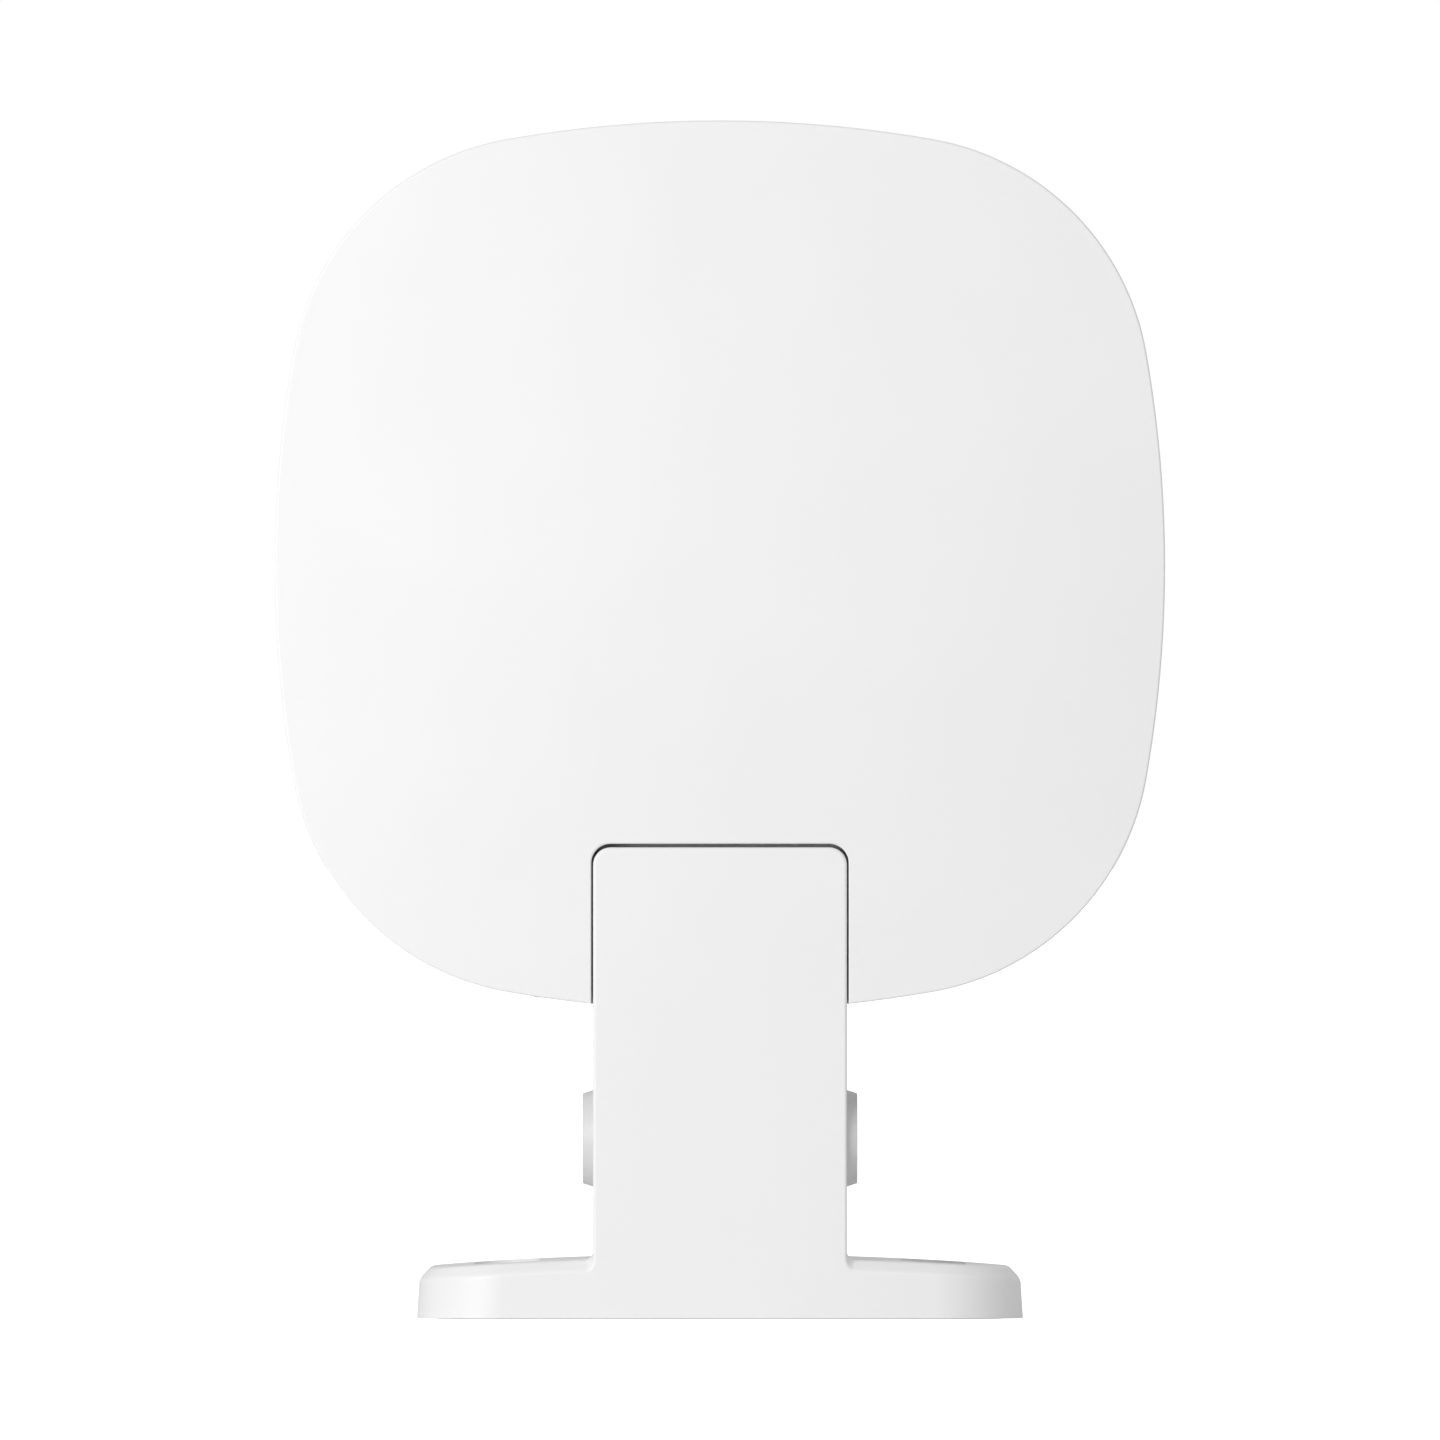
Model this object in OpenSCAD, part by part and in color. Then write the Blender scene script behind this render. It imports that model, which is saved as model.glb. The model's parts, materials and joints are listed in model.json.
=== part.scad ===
// Wireless router: a square panel with bowed sides, tilting on an L-shaped stand.
// Origin at the centre of the underside, +Z up, +X across, +Y towards the panel's front.

/* [Panel] */
// Width and height of the panel
panel_size = 151.4; // [126:0.2:182]
// Depth of the panel from its back face to its front face
panel_depth = 24; // [23:0.5:34]
// Radius of the long arc along each side of the panel
panel_side_r = 208; // [180:1:260]
// Radius of the panel's corners
panel_corner_r = 44.6; // [36:0.2:52]
// Depth of the rear cover, from the back face to the seam
rear_cover_depth = 19; // [18.8:0.2:20]
// Wall of the two covers
cover_wall = 2; // [1.6:0.1:2.4]
// Thickness of the gasket between the covers
gasket_t = 0.4; // [0.2:0.1:0.8]
// Rounding of the front cover's edge
front_edge_r = 3; // [1:0.2:3.6]

/* [Base] */
// Width of the base
base_width = 103.2; // [100:0.2:124]
// Depth of the base, front to back
base_depth = 72; // [66:0.5:90]
// Height of the base at its middle
base_height = 10.5; // [10.3:0.1:14]
// Radius of the base's corners, seen from above
base_corner_r = 14.6; // [10:0.2:18]
// Radius of the shallow crown across the base's top
base_crown_r = 655; // [500:5:1200]
// Bevel around the base's top edge
base_bevel = 1.9; // [1:0.1:2.2]
// How far each end of the base leans in from bottom to top
base_lean = 0.4; // [0:0.1:1]
// Wall of the base
base_wall = 2.4; // [2:0.1:2.8]
// How far the foot pad stands proud of the base's rim
pad_proud = 0.1; // [0.1:0.05:0.6]
// Thickness of the foot pad
pad_t = 0.8; // [0.6:0.1:1]
// Thickness of the base plate
base_plate_t = 1.6; // [1.2:0.1:2]
// Thickness of the steel ballast
ballast_t = 4.8; // [3:0.1:4.9]

/* [Hold-down slots] */
// Distance between the two slots
slot_spacing = 72.8; // [72:0.2:76]
// Width of each slot's countersunk upper part
slot_head_w = 11; // [9:0.2:12]
// Depth of that upper part
slot_head_depth = 3; // [2:0.1:4]
// Width of the slot below it, for a screw's shank
slot_shank_w = 4.6; // [4.4:0.1:6]
// Length of each slot, front to back
slot_length = 48; // [36:1:50]

/* [Stem] */
// Width of the stem
stem_width = 43.2; // [42:0.2:52]
// Depth of the stem where it holds the pivot
stem_depth = 19; // [18.6:0.1:22]
// Depth of the stem's upper end, which nests in the panel's back
stem_top_depth = 6; // [5:0.1:6.4]
// Wall of the stem
stem_wall = 2.6; // [2.4:0.1:3]
// Radius of the stem's top corners
stem_corner_r = 3; // [2:0.1:5]
// How far the stem reaches up behind the panel
stem_overlap = 27.8; // [20:0.2:32]
// Gap between stem and panel at each side
nest_side_gap = 0.3; // [0.25:0.05:0.6]
// Gap between the stem's top and the panel
nest_top_gap = 0.6; // [0.4:0.1:1.2]

/* [Pivot] */
// Height of the pivot above the base
pivot_rise = 20.2; // [18:0.1:24]
// Distance from the pivot up to the panel's lowest point
neck_reach = 21.76; // [21:0.02:26]
// Distance from the stem's back face to the pivot
pivot_setback = 9.5; // [9.4:0.1:9.8]
// Radius of the neck's barrel
barrel_r = 6.4; // [6:0.1:6.4]
// Radius of the pivot bolt's shank
bolt_r = 2.5; // [2:0.1:2.8]
// Running clearance round the pivot bolt
bolt_clearance = 0.05; // [0.03:0.01:0.1]
// Radius of each pivot cap where it meets the stem
cap_r = 8.25; // [7.6:0.05:8.6]
// How far each pivot cap stands out of the stem
cap_proud = 1.8; // [1.6:0.1:2.4]

/* [Sockets and button] */
// Distance of the Ethernet jack's middle from the stem's side
jack_from_stem = 12.9; // [12.4:0.5:18.4]
// Distance of the power socket's middle from the stem's side
power_from_stem = 19.4; // [18.4:0.5:22.4]
// Distance of the button's middle from the stem's side
button_from_stem = 7.9; // [7.4:0.5:9.4]
// Radius of the button
button_r = 2.5; // [2:0.1:2.8]
// Travel of the button
button_travel = 0.6; // [0.3:0.1:1]

/* [Hidden] */

// A cut runs this far past the faces that it opens
past = 1;
// Thickness given to the thin slices that a hull joins
slice = 0.02;
// Clearance between pieces that are fastened to each other
fit = 0.2;
// Space left round a piece that only has to pass another
clear = 0.5;

// Screws: heads, shanks and the holes that they pass or bite
screw_head_r = 2.7;
screw_head_t = 1.6;
screw_r = 1.5;
screw_thread_r = 1.55;
screw_pass_r = 1.6;
board_screw_head_r = 2.2;
board_screw_head_t = 1.4;
board_screw_r = 1.2;
board_screw_thread_r = 1.25;
board_screw_pass_r = 1.3;
board_screw_bite = 3.4;
base_screw_r = 1.3;
base_screw_head_r = base_screw_r + 1;
base_screw_head_t = 0.8;
base_screw_bite = 4;
ballast_screw_head_r = base_screw_r + 1.2;
ballast_screw_head_t = 1.4;
ballast_screw_bite = 0.7;

// Depths of the stack, from the back face forwards
nest_floor_gap = 0.4;
back_y = -base_depth / 2;
recess_depth = stem_top_depth + nest_floor_gap;
recess_floor_y = back_y + recess_depth;
recess_inner_y = recess_floor_y + cover_wall;
neck_plate_t = 3.5;
neck_plate_y = recess_inner_y + fit / 2;
chassis_t = 1.5;
chassis_y = neck_plate_y + neck_plate_t;
pad_gap = 0.8;
can_h = 2.2;
board_t = 1.2;
board_y = chassis_y + chassis_t + pad_gap + can_h;
board_front_y = board_y + board_t;
antenna_gap = 1.8;
antenna_board_t = 1;
antenna_board_y = board_front_y + antenna_gap;
patch_t = 0.2;
seam_y = back_y + rear_cover_depth;
lip_l = 2;
front_y = back_y + panel_depth;

// Heights
pivot_z = base_height + pivot_rise;
pivot_y = back_y + pivot_setback;
panel_bottom = pivot_z + neck_reach;
panel_z = panel_bottom + panel_size / 2;
stem_top = panel_bottom + stem_overlap;
rim_z = pad_proud;
plate_z = pad_t;
plate_top = plate_z + base_plate_t;

// Panel outline: four side arcs and four corner arcs that meet without a corner
panel_half = panel_size / 2;
side_angle = 45 - asin((panel_side_r - panel_half) / (sqrt(2) * (panel_side_r - panel_corner_r)));
corner_centre = (panel_side_r - panel_corner_r) * sin(side_angle);
side_steps = 8;
corner_steps = 12;

// Stem and pivot
stem_half = stem_width / 2;
channel_half = stem_half - stem_wall;
channel_y = back_y + stem_wall;
channel_floor_rise = 0.3;
channel_floor = base_height + channel_floor_rise;
stem_front_y = back_y + stem_depth;
shoulder_drop = 2.5;
shoulder_h = 9;
shoulder_top = panel_bottom - shoulder_drop;
shoulder_bottom = shoulder_top - shoulder_h;
washer_t = 0.95;
washer_play = 0.05;
washer_bore_gap = 0.1;
cone_bore_gap = 0.2;
cone_sheet_t = 0.5;
cone_edge_t = 0.3;
barrel_half = channel_half - 2 * (washer_t + washer_play);
neck_step = 2;
neck_half = barrel_half - neck_step;
neck_skin_gap = 0.3;
neck_opening_h = 6;
neck_shoulder_t = 8;
washer_r = 6;
cap_draft = 0.5;
cap_recess = 1.2;
cap_spigot_r = 6.2;
cap_spigot_wall = 1;
bolt_head_t = 2;
bolt_head_r = 4.5;
bolt_seat_x = stem_half - cap_recess;
bolt_end_x = bolt_seat_x + bolt_head_t;
bolt_hex_r = bolt_r * 0.7;
bolt_hex_depth = 1;
thread_gap = 0.02;
inner_fillet_r = 1.5;
inner_fillet_bite = 0.1;
inner_fillet_sink = 0.4;

// Base
corner_x = base_width / 2 - base_corner_r;
corner_y = base_depth / 2 - base_corner_r;
crown_parts = 4;
slot_x = slot_spacing / 2;
slot_y = 4;
slot_wall = 1.6;
slot_shank_l = slot_length - slot_head_w + slot_shank_w;
base_plate_inset = base_wall + base_lean + fit;
foot_pad_inset = base_plate_inset + fit;
pad_slot_gap = 0.5;
base_screw_inset = [5.2, 13];
base_screw_at = [base_width / 2 - base_screw_inset.x, base_depth / 2 - base_screw_inset.y];
base_boss_r = 2.8;
ballast_half = slot_x - slot_head_w / 2 - slot_wall - fit;
ballast_margin = 2;
ballast_back_y = stem_front_y + ballast_margin;
ballast_front_y = base_depth / 2 - base_wall - ballast_margin;
ballast_mid_y = (ballast_back_y + ballast_front_y) / 2;
ballast_screw_inset = 5;
ballast_screw_x = ballast_half - ballast_screw_inset;
ballast_boss_r = 3;

// Board layout, measured from the middle of the panel
board_inset = 6;
chassis_inset = 18;
chassis_screw_reach = 15.3;
chassis_screw_at = corner_centre + chassis_screw_reach;
chassis_screw_bite = 9;
chassis_boss_r = 3.5;
board_screws_at = [[-50, -14], [50, -14], [-30, 52], [30, 52]];
standoff_r = 2.8;
neck_screw_x = 10;
neck_screw_z = [panel_bottom + 23, panel_bottom + 34];
neck_top = panel_bottom + 39;
can_list = [[0, 10, 34, 34], [-34, 14, 26, 30], [34, 14, 26, 30]];
can_wall = 0.3;
chip_inset = 7;
chip_t = 1.4;
thermal_inset = 3;
antenna_size = 90;
antenna_rise = 8;
patch_pitch = 20;
patch_size = 14;
patches_across = 4;
spacer_inset = 5;
spacer_r = 2.4;
connector_w = 16;
connector_h = 4;
wifi_inset = 5;
wifi_x = panel_half - board_inset - wifi_inset;
wifi_z = 26;
wifi_sheet = 0.4;
wifi_l = 24;
wifi_h = 6;
wifi_band = 2;
wifi_feed_at = 7;
led_z = panel_bottom + 14;
led_w = 1.6;
led_h = 1.2;
led_t = 0.7;
led_gap = 0.1;
pipe_r = 1.5;
pipe_gap = 0.05;

// Front cover and gasket
edge_knee_in = 0.3;
edge_inner_in = 0.4;
lip_wall = 1;
lip_break = 4;
gasket_inset = 0.5;
gasket_overlap = 0.1;

// Sockets and button
jack_x = stem_half + jack_from_stem;
power_x = stem_half + power_from_stem;
button_x = stem_half + button_from_stem;
socket_sink = 0.4;
jack_w = 16;
jack_h = 13.4;
jack_l = 21;
jack_mouth_w = 11.8;
jack_mouth_h = 8.4;
jack_mouth_l = 14;
jack_latch_w = 6;
jack_latch_h = 1.6;
jack_latch_l = 8;
contacts = 8;
contact_pitch = 1.02;
contact_w = 0.4;
contact_t = 0.5;
contact_start = 3;
power_w = 9.2;
power_h = 3.6;
power_l = 7.5;
power_shell_t = 0.3;
power_back_t = 0.6;
power_tongue_w = 6.6;
power_tongue_t = 0.7;
collar_wall = 1.2;
collar_rise = 2;
collar_seam_gap = 0.6;
opening_rise = 3;
button_flange_r = button_r + 0.9;
button_flange_t = 1;
button_gap = 0.2;
button_seat_gap = 0.3;
button_play = 0.05;
button_stem_r = 1.2;
switch_rise = 0.8;
switch_play = 0.1;
switch_h = 3.6;
switch_w = 6;
switch_l = 4;
button_y = board_y - switch_h / 2;
plug_gap = 0.3;

// Half the height of the panel's outline at a distance x from its middle, moved in by inset
function edge_height(x, inset) =
    abs(x) <= (panel_side_r - inset) * sin(side_angle)
        ? panel_half - panel_side_r + sqrt((panel_side_r - inset) ^ 2 - x ^ 2)
        : corner_centre + sqrt((panel_corner_r - inset) ^ 2 - (abs(x) - corner_centre) ^ 2);

// Height of the panel's underside at x, and of its underside moved in by inset
function underside(x, inset = 0) = panel_z - edge_height(x, inset);

// Height of the base's crowned top at x
function crown_height(x) = base_height - base_crown_r + sqrt(base_crown_r ^ 2 - x ^ 2);

function turned(p, a) = [p.x * cos(a) - p.y * sin(a), p.x * sin(a) + p.y * cos(a)];

function side_points(inset) = [
    for (i = [0 : side_steps - 1])
        let (a = side_angle * (2 * i / side_steps - 1), r = panel_side_r - inset)
            [panel_half - panel_side_r + r * cos(a), r * sin(a)]
];

function corner_points(inset) = [
    for (i = [0 : corner_steps - 1])
        let (a = side_angle + (90 - 2 * side_angle) * i / corner_steps, r = panel_corner_r - inset)
            [corner_centre + r * cos(a), corner_centre + r * sin(a)]
];

function panel_points(inset) = [
    for (quarter = [0 : 3])
        for (p = concat(side_points(inset), corner_points(inset)))
            turned(p, 90 * quarter)
];

// Sets a shape drawn in X and Z between two depths
module between_y(y0, y1) {
    translate([0, y1, 0])
        rotate([90, 0, 0])
            linear_extrude(y1 - y0)
                children();
}

// A block between two corners
module block(low, high) {
    translate(low)
        cube(high - low);
}

// A round bar along X, Y or Z from one end to the other
module bar_x(x0, x1, y, z, r) {
    translate([x0, y, z])
        rotate([0, 90, 0])
            cylinder(h = x1 - x0, r = r, $fn = 48);
}

module bar_y(x, y0, y1, z, r) {
    translate([x, y0, z])
        rotate([-90, 0, 0])
            cylinder(h = y1 - y0, r = r, $fn = 48);
}

module bar_z(x, y, z0, z1, r) {
    translate([x, y, z0])
        cylinder(h = z1 - z0, r = r, $fn = 48);
}

// The panel's outline, moved in by inset, between two depths
module panel_plate(inset, y0, y1) {
    between_y(y0, y1)
        translate([0, panel_z])
            polygon(panel_points(inset));
}

// A screw along Y whose head sits in front of seat_y
module screw_y(x, z, seat_y, head_r, head_t, shank_r, shank_l) {
    bar_y(x, seat_y, seat_y + head_t, z, head_r);
    bar_y(x, seat_y - shank_l, seat_y + head_t / 2, z, shank_r);
}

module mirrored_x() {
    children();
    mirror([1, 0, 0])
        children();
}

// The base's crowned, bevelled block, moved in by inset and down by drop
module base_block(inset, drop, floor_z) {
    r = base_corner_r - inset;
    top_x = corner_x - base_lean;
    hull() {
        for (sx = [-1, 1], sy = [-1, 1]) {
            translate([sx * corner_x, sy * corner_y, floor_z])
                cylinder(h = slice, r = r, $fn = 48);
            translate([sx * top_x, sy * corner_y, crown_height(top_x) - drop])
                rotate([0, sx * asin(top_x / base_crown_r), 0])
                    translate([0, 0, -base_bevel])
                        cylinder(h = base_bevel, r1 = r, r2 = r - base_bevel, $fn = 48);
        }
        for (i = [1 - crown_parts : crown_parts - 1])
            let (x = top_x * i / crown_parts)
                translate([x, 0, crown_height(x) - drop - slice / 2])
                cube([slice, 2 * (corner_y + r - base_bevel), slice], center = true);
    }
}

// A slot with round ends that runs along Y
module slot_cut(x, w, l, z0, z1) {
    reach = (l - w) / 2;
    bar_z(x, slot_y - reach, z0, z1, w / 2);
    bar_z(x, slot_y + reach, z0, z1, w / 2);
    block([x - w / 2, slot_y - reach, z0], [x + w / 2, slot_y + reach, z1]);
}

// The stem's outline seen from the back, grown by a side gap and a top gap
module stem_outline(side, top, bottom_z) {
    r = stem_corner_r + side;
    hull() {
        for (s = [-1, 1])
            translate([s * (stem_half + side - r), stem_top + top - r])
                circle(r = r, $fn = 32);
        translate([-stem_half - side, bottom_z])
            square([2 * (stem_half + side), slice]);
    }
}

module stem_side_profile() {
    translate([-stem_half - past, 0, 0])
        rotate([90, 0, 90])
            linear_extrude(stem_width + 2 * past)
                polygon([
                    [back_y, base_height - base_wall],
                    [stem_front_y, base_height - base_wall],
                    [stem_front_y, shoulder_bottom],
                    [back_y + stem_top_depth, shoulder_top],
                    [back_y + stem_top_depth, stem_top + past],
                    [back_y, stem_top + past]
                ]);
}

module stem_solid() {
    intersection() {
        between_y(back_y, stem_front_y)
            stem_outline(0, 0, base_height - base_wall);
        stem_side_profile();
    }
}

// The small inside radius where the stem meets the base
module stem_foot_fillet() {
    z0 = crown_height(stem_half + inner_fillet_r);
    mirrored_x()
        difference() {
            block(
                [stem_half - inner_fillet_bite, back_y + base_bevel, z0 - inner_fillet_sink],
                [stem_half + inner_fillet_r, stem_front_y, z0 + inner_fillet_r]
            );
            bar_y(stem_half + inner_fillet_r, back_y, base_depth, z0 + inner_fillet_r, inner_fillet_r);
        }
}

module slot_islands() {
    mirrored_x()
        slot_cut(slot_x, slot_head_w + 2 * slot_wall, slot_length + 2 * slot_wall, plate_top, base_height);
}

module base_bosses() {
    for (sx = [-1, 1], sy = [-1, 1])
        bar_z(sx * base_screw_at.x, sy * base_screw_at.y, plate_top, base_height, base_boss_r);
    for (sx = [-1, 1])
        bar_z(sx * ballast_screw_x, ballast_mid_y, plate_top + ballast_t, base_height, ballast_boss_r);
}

module stand_body() {
    color("whitesmoke")
        difference() {
            union() {
                difference() {
                    base_block(0, 0, rim_z);
                    base_block(base_wall, base_wall, -past);
                }
                intersection() {
                    base_block(base_wall / 2, base_wall / 2, plate_top - past);
                    union() {
                        slot_islands();
                        base_bosses();
                    }
                }
                stem_solid();
                stem_foot_fillet();
            }
            block(
                [-channel_half, channel_y, channel_floor],
                [channel_half, stem_front_y + past, stem_top - stem_wall]
            );
            mirrored_x() {
                slot_cut(slot_x, slot_head_w, slot_length, base_height - slot_head_depth, base_height + past);
                slot_cut(slot_x, slot_shank_w, slot_shank_l, 0, base_height);
                bar_x(bolt_seat_x, stem_half + past, pivot_y, pivot_z, cap_spigot_r + fit / 4);
            }
            bar_x(-stem_width, stem_width, pivot_y, pivot_z, bolt_r + bolt_clearance);
            for (sx = [-1, 1], sy = [-1, 1])
                bar_z(
                    sx * base_screw_at.x, sy * base_screw_at.y,
                    plate_top - past, plate_top + base_screw_bite + 2 * fit, base_screw_r
                );
            for (sx = [-1, 1])
                bar_z(
                    sx * ballast_screw_x, ballast_mid_y,
                    plate_top, plate_top + ballast_t + ballast_screw_bite + fit, base_screw_r
                );
        }
}

// A flat plate that fills the base's mouth, moved in by inset
module base_sheet(inset, z0, z1) {
    r = base_corner_r - inset;
    translate([0, 0, z0])
        linear_extrude(z1 - z0)
            hull()
                for (sx = [-1, 1], sy = [-1, 1])
                    translate([sx * corner_x, sy * corner_y])
                        circle(r = r, $fn = 32);
}

module base_plate() {
    color("gainsboro")
        difference() {
            base_sheet(base_plate_inset, plate_z, plate_top);
            mirrored_x()
                slot_cut(slot_x, slot_shank_w, slot_shank_l, 0, base_height);
            for (sx = [-1, 1], sy = [-1, 1])
                translate([sx * base_screw_at.x, sy * base_screw_at.y, 0]) {
                    bar_z(0, 0, 0, base_height, base_screw_r + fit);
                    bar_z(0, 0, 0, plate_z + base_screw_head_t, base_screw_head_r + fit);
                }
        }
}

module foot_pad() {
    color("dimgray")
        difference() {
            base_sheet(foot_pad_inset, 0, pad_t);
            mirrored_x()
                slot_cut(
                    slot_x, slot_shank_w + 2 * pad_slot_gap, slot_shank_l + 2 * pad_slot_gap,
                    -past, base_height
                );
        }
}

module ballast_plate() {
    color("slategray")
        difference() {
            block(
                [-ballast_half, ballast_back_y, plate_top],
                [ballast_half, ballast_front_y, plate_top + ballast_t]
            );
            for (sx = [-1, 1])
                bar_z(sx * ballast_screw_x, ballast_mid_y, 0, base_height, base_screw_r + fit);
            for (sx = [-1, 1])
                bar_z(
                    sx * ballast_screw_x, ballast_mid_y,
                    0, plate_top + fit + ballast_screw_head_t, ballast_screw_head_r + 1.5 * fit
                );
        }
}

module base_screws() {
    color("silver")
        for (sx = [-1, 1], sy = [-1, 1])
            translate([sx * base_screw_at.x, sy * base_screw_at.y, 0]) {
                bar_z(0, 0, plate_z, plate_z + base_screw_head_t, base_screw_head_r);
                bar_z(0, 0, plate_z + base_screw_head_t / 2, plate_top + base_screw_bite, base_screw_r);
            }
}

module ballast_screws() {
    head_z = plate_top + fit;
    color("silver")
        for (sx = [-1, 1])
            translate([sx * ballast_screw_x, ballast_mid_y, 0]) {
                bar_z(0, 0, head_z, head_z + ballast_screw_head_t, ballast_screw_head_r);
                bar_z(
                    0, 0, head_z + ballast_screw_head_t / 2,
                    plate_top + ballast_t + ballast_screw_bite, base_screw_r
                );
            }
}

module pivot_bolt() {
    color("silver")
        difference() {
            union() {
                bar_x(bolt_seat_x, bolt_end_x, pivot_y, pivot_z, bolt_head_r);
                bar_x(-bolt_end_x, bolt_seat_x + bolt_head_t / 2, pivot_y, pivot_z, bolt_r);
            }
            translate([bolt_end_x - bolt_hex_depth, pivot_y, pivot_z])
                rotate([0, 90, 0])
                    cylinder(h = bolt_hex_depth + past, r = bolt_hex_r, $fn = 6);
        }
}

module pivot_nut() {
    color("silver")
        translate([-bolt_end_x, pivot_y, pivot_z])
            rotate([0, 90, 0])
                difference() {
                    cylinder(h = bolt_head_t, r = bolt_head_r, $fn = 6);
                    translate([0, 0, -past])
                        cylinder(h = bolt_head_t + 2 * past, r = bolt_r + thread_gap, $fn = 48);
                }
}

// Two coned washers, one against each wall of the stem
module spring_washers() {
    color("silver")
        mirrored_x()
            translate([channel_half, pivot_y, pivot_z])
                rotate([0, -90, 0])
                    rotate_extrude($fn = 64)
                        polygon([
                            [bolt_r + cone_bore_gap, washer_t - cone_sheet_t],
                            [washer_r - cone_edge_t, 0],
                            [washer_r, cone_edge_t],
                            [bolt_r + cone_bore_gap + cone_edge_t, washer_t]
                        ]);
}

// Two flat fibre washers that rub on the neck's barrel
module friction_washers() {
    color("dimgray")
        mirrored_x()
            difference() {
                bar_x(
                    barrel_half + washer_play, barrel_half + washer_play + washer_t,
                    pivot_y, pivot_z, washer_r
                );
                bar_x(barrel_half - past, channel_half, pivot_y, pivot_z, bolt_r + washer_bore_gap);
            }
}

module pivot_cap() {
    translate([stem_half, pivot_y, pivot_z])
        rotate([0, 90, 0])
            difference() {
                union() {
                    cylinder(h = cap_proud, r1 = cap_r, r2 = cap_r - cap_draft, $fn = 96);
                    translate([0, 0, -cap_recess])
                        cylinder(h = cap_recess + cap_proud / 2, r = cap_spigot_r, $fn = 96);
                }
                translate([0, 0, -cap_recess - past])
                    cylinder(
                        h = bolt_head_t + past + fit / 2,
                        r = cap_spigot_r - cap_spigot_wall,
                        $fn = 96
                    );
            }
}

module pivot_cap_left() {
    color("gainsboro")
        mirror([1, 0, 0])
            pivot_cap();
}

module pivot_cap_right() {
    color("gainsboro")
        pivot_cap();
}

// Barrel on the pivot, an arm up to the panel and a flat plate inside it
module neck() {
    arm_top = panel_bottom - neck_skin_gap;
    color("gainsboro")
        difference() {
            union() {
                bar_x(-barrel_half, barrel_half, pivot_y, pivot_z, barrel_r);
                block(
                    [-neck_half, neck_plate_y, pivot_z],
                    [neck_half, neck_plate_y + neck_shoulder_t, arm_top]
                );
                block(
                    [-neck_half, neck_plate_y, pivot_z],
                    [neck_half, neck_plate_y + neck_plate_t, neck_top]
                );
            }
            bar_x(-stem_width, stem_width, pivot_y, pivot_z, bolt_r + bolt_clearance);
            for (sx = [-1, 1], z = neck_screw_z)
                bar_y(sx * neck_screw_x, neck_plate_y - past, chassis_y + past, z, screw_thread_r);
        }
}

module neck_screws() {
    color("silver")
        for (sx = [-1, 1], z = neck_screw_z)
            screw_y(
                sx * neck_screw_x, z, chassis_y + chassis_t,
                screw_head_r, screw_head_t, screw_r, chassis_t + neck_plate_t - fit
            );
}

// The straight-sided pocket in the panel's back that the stem nests in
module recess(grow, y0, y1) {
    between_y(y0, y1)
        stem_outline(nest_side_gap + grow, nest_top_gap + grow, panel_bottom - past);
}

// Height of a socket's mouth, clear above the panel's sloping underside
function mouth_height(x, w) = underside(abs(x) + w / 2) + socket_sink;

jack_z = mouth_height(jack_x, jack_w);
power_z = mouth_height(power_x, power_w);
button_seat_z = underside(button_x + button_flange_r, cover_wall) + button_seat_gap;
button_face_z = underside(button_x);
switch_z = underside(button_x, board_inset) + switch_rise;

module port_opening(x, w, y0, y1) {
    block(
        [x - w / 2 - plug_gap, y0 - plug_gap, panel_bottom - past],
        [x + w / 2 + plug_gap, y1 + plug_gap, mouth_height(x, w) + opening_rise]
    );
}

// A sleeve inside the rear cover that frames one socket
module port_collar(x, w, y0, y1) {
    grow = plug_gap + collar_wall;
    intersection() {
        panel_plate(cover_wall / 2, back_y, seam_y);
        block(
            [x - w / 2 - grow, max(y0 - grow, back_y), panel_bottom],
            [x + w / 2 + grow, min(y1 + grow, seam_y - collar_seam_gap), mouth_height(x, w) + collar_rise]
        );
    }
}

module rear_cover() {
    color("whitesmoke")
        difference() {
            union() {
                difference() {
                    panel_plate(0, back_y, seam_y);
                    panel_plate(cover_wall, back_y + cover_wall, seam_y + past);
                }
                intersection() {
                    panel_plate(cover_wall / 2, back_y, seam_y);
                    recess(cover_wall, back_y, recess_inner_y);
                }
                for (sx = [-1, 1], sz = [-1, 1])
                    bar_y(
                        sx * chassis_screw_at, back_y + cover_wall / 2, chassis_y,
                        panel_z + sz * chassis_screw_at, chassis_boss_r
                    );
                port_collar(jack_x, jack_w, board_y - jack_h, board_y);
                port_collar(-power_x, power_w, board_y - power_h, board_y);
                intersection() {
                    panel_plate(cover_wall / 2, back_y, seam_y);
                    bar_z(-button_x, button_y, panel_bottom, button_seat_z, button_flange_r + collar_wall);
                }
            }
            recess(0, back_y - past, recess_floor_y);
            block(
                [-neck_half - fit, recess_inner_y, panel_bottom - past],
                [neck_half + fit, neck_plate_y + neck_plate_t + fit, panel_bottom + neck_opening_h]
            );
            port_opening(jack_x, jack_w, board_y - jack_h, board_y);
            port_opening(-power_x, power_w, board_y - power_h, board_y);
            bar_z(-button_x, button_y, panel_bottom - past, button_seat_z + past, button_r + button_gap);
            for (sx = [-1, 1], sz = [-1, 1])
                bar_y(
                    sx * chassis_screw_at, chassis_y - chassis_screw_bite, chassis_y + past,
                    panel_z + sz * chassis_screw_at, screw_thread_r
                );
        }
}

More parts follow.
